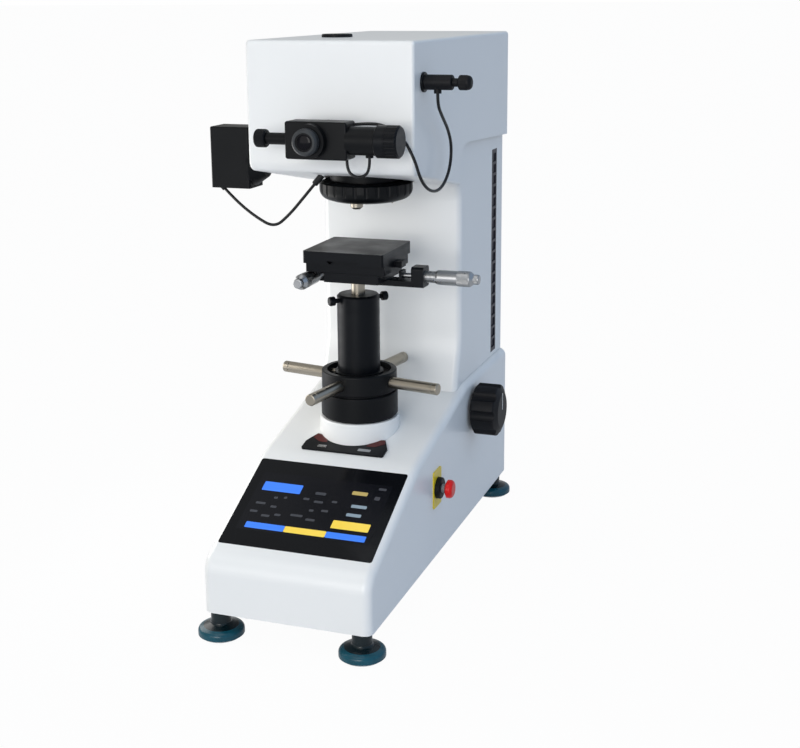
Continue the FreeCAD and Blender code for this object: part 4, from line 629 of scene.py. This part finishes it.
def make_inlays():
    """Red-brown inlays along the hollow of the trim plate, and two bright strips without a name."""
    horn = ((27, 34), (38, 34), (49.5, 43), (47, 52.5), (41, 51.5), (28.5, 40.5))
    for side in (-1, 1):
        outline = [(side * x, y) for x, y in horn][::side]
        tile(f"trim_inlay_{side + 1}", outline, INLAY_THICK, on_slope(DECK, 0, 0, TRIM_TOP),
             "inlay", "machine_frame")
    for i, (x, width) in enumerate(((-30, 12), (28, 17))):
        tile(f"trim_strip_{i}", rounded_outline(width, 5.5, 1), INLAY_THICK,
             on_slope(DECK, x, 24, TRIM_TOP), "satin", "machine_frame")


BARREL_RADIUS, MARK_RADIUS, MARK_WIDTH, MARK_PITCH, MARK_COUNT = 7.4, 7.53, 0.35, 1.8, 7
INDEX_WIDTH, INDEX_LENGTH, INDEX_CORNER, INDEX_THICK = 1.6, 24, 0.7, 0.3
SELECTOR_DEPTH, SELECTOR_HEIGHT = 418, 198


def make_marks():
    """Graduation rings on the barrels of both micrometer heads, and the selector's index line."""
    ring = [(BARREL_RADIUS, 0), (MARK_RADIUS, 0), (MARK_RADIUS, MARK_WIDTH),
            (BARREL_RADIUS, MARK_WIDTH), (BARREL_RADIUS, 0)]
    barrels = [("x", "stage", (93.2, TEST_AXIS, X_SCREW_HEIGHT), RIGHTWARD),
               ("y", "x_slide", (Y_SCREW_PLACE, 244.8, Y_SCREW_HEIGHT), FORWARD)]
    for screw, body, first, way in barrels:
        for i in range(MARK_COUNT):
            spot = np.array(first) + np.array(way) * (i * MARK_PITCH)
            turned(f"{screw}_barrel_mark_{i}", ring, spot, way, "black mark", body)
    face = (far_corner("selector_knob")[0], SELECTOR_DEPTH, SELECTOR_HEIGHT)
    tile("selector_index", rounded_outline(INDEX_WIDTH, INDEX_LENGTH, INDEX_CORNER), INDEX_THICK,
         on_plane(face, REARWARD, (0, 0, 1)), "white mark", "selector")


GRIP_RISE, GRIP_SINK, RIDGE_DEPTH = 0.35, 0.4, 0.35

# Name, radius, start, direction, length and ridges, and then finish, slot and body.
X_GRIP, Y_GRIP = ("satin", "chrome", "x_thimble"), ("satin", "chrome", "y_thimble")
GRIPS = [
    ("x_thimble_grip", 9.5, (134, TEST_AXIS, X_SCREW_HEIGHT), RIGHTWARD, 16, 40, *X_GRIP),
    ("x_ratchet_grip", 6.0, (155.5, TEST_AXIS, X_SCREW_HEIGHT), RIGHTWARD, 5, 30, *X_GRIP),
    ("y_thimble_grip", 9.5, (Y_SCREW_PLACE, 204, Y_SCREW_HEIGHT), FORWARD, 16, 40, *Y_GRIP),
    ("y_ratchet_grip", 6.0, (Y_SCREW_PLACE, 182.5, Y_SCREW_HEIGHT), FORWARD, 5, 30, *Y_GRIP),
    ("adjusting_grip", 10.5, (-62.6, DRUM_AXIS, SIGHT_HEIGHT), LEFTWARD, 11, 40,
     "blackened", "black_steel", "adjusting_knob"),
    ("diopter_grip", 15.5, (0, 96, SIGHT_HEIGHT), FORWARD, 7, 48,
     "ocular", "plastic_black", "diopter"),
    ("lamp_screw_grip", 5.0, (-178.2, 220, 541), LEFTWARD, 4, 24,
     "blackened", "black_steel", "lamp_screw"),
    ("plug_grip", 8.5, (152.5, 198, 651), RIGHTWARD, 9, 30,
     "abs", "plastic_black", "machine_frame"),
]


def make_grips():
    """Knurled bands, pressed over the grips of the thimbles, ratchets, screws and knobs."""
    for name, radius, origin, way, length, ridges, finish, slot, body in GRIPS:
        inner, outer = radius - GRIP_SINK, radius + GRIP_RISE
        profile = [(inner, 0), (outer, GRIP_SINK), (outer, length - GRIP_SINK), (inner, length),
                   (inner, 0)]
        turned(name, profile, origin, way, finish, body, ridges, RIDGE_DEPTH, [0, 1, 1, 0, 0])


def dome(radius, rise, stop=0.0, steps=7):
    """Outline of a low dome from its edge inwards: r = radius * sin a, h = rise * cos a."""
    angles = np.linspace(math.pi / 2, stop, steps)
    return [(radius * math.sin(a), rise * math.cos(a)) for a in angles]


LENS_RADIUS, LENS_RISE, LENS_FRONT = 9, 1.2, 88.0


def make_lens():
    """Eye lens in the ocular, slightly domed."""
    turned("eye_lens", [(LENS_RADIUS, -1)] + dome(LENS_RADIUS, LENS_RISE),
           (0, LENS_FRONT, SIGHT_HEIGHT), FORWARD, "lens", "eyepiece")


LOUVRE_COLUMNS, LOUVRE_ROWS = (-46, 46), 8
LOUVRE_WIDTH, LOUVRE_DROP, LOUVRE_RISE = 60, 7, 3.2
LOUVRE_FOOT, LOUVRE_PITCH = 262, 14
LOUVRE_SHEET = 0.0008  # metres


def make_louvres():
    """Rows of pressed louvres in the rear cover, each open along its lower edge.

    At u across and v down, both from 0 to 1, the sheet stands out by
    rise * sin(pi * v / 2) * sin(pi * u) ** 0.35."""
    wall = far_corner("rear_cover")[1]
    across, down = np.linspace(0, 1, 9), np.linspace(0, 1, 13)
    u, v = np.meshgrid(across, down, indexing="ij")
    n = len(down)
    i, j = np.meshgrid(np.arange(len(across) - 1), np.arange(n - 1), indexing="ij")
    quads = np.stack([i * n + j, (i + 1) * n + j, (i + 1) * n + j + 1, i * n + j + 1], -1)
    faces = quads.reshape(-1, 4).tolist()
    y = wall + LOUVRE_RISE * np.sin(np.pi * v * 0.5) * np.sin(np.pi * u) ** 0.35
    for column, middle in enumerate(LOUVRE_COLUMNS):
        x = middle + (u - 0.5) * LOUVRE_WIDTH
        for row in range(LOUVRE_ROWS):
            z = LOUVRE_FOOT + row * LOUVRE_PITCH + LOUVRE_DROP * (1 - v)
            points = np.stack([x, y, z], -1).reshape(-1, 3)
            piece = make_piece(f"louvre_{column}_{row}", points, faces, "white",
                               "machine_frame")
            sheet = piece.modifiers.new("sheet", "SOLIDIFY")
            sheet.thickness = LOUVRE_SHEET
            sheet.offset = -1


# Radius and distance beyond the lead's end, round the boot's section.
BOOT_SECTION = [(2.1, -1), (3.6, -1), (4.0, 0), (4.0, 15), (3.4, 15), (3.4, 0), (2.1, -1)]


def make_boot():
    """Rubber boot over the gland under the hood, in line with the last stretch of the lamp lead."""
    before, end = (np.array(spot, float) for spot in LAMP_ROUTE[-2:])
    turned("gland_boot", BOOT_SECTION, end, end - before, "jacket", "machine_frame")


SCREW_RADIUS = 3.2
SCREW_PLACES = ((-88, 60), (88, 60), (-88, 190), (88, 190))


def make_screws():
    """Button-head screws with a round recess, on the rear wall of the base."""
    wall = far_corner("base_shell")[1]
    recess = SCREW_RADIUS * 0.15
    profile = ([(SCREW_RADIUS, -0.3)] + dome(SCREW_RADIUS, SCREW_RADIUS * 0.45, 0.35, 6)
               + [(SCREW_RADIUS * 0.34, recess), (0, recess)])
    for i, (x, z) in enumerate(SCREW_PLACES):
        turned(f"base_screw_{i}", profile, (x, wall, z), REARWARD, "blackened",
               "machine_frame")


make_camera()
make_floor()
make_lamps()
make_room()
make_cords()
dress_nodes()
make_screen()
make_inlays()
make_marks()
make_grips()
make_lens()
make_louvres()
make_boot()
make_screws()
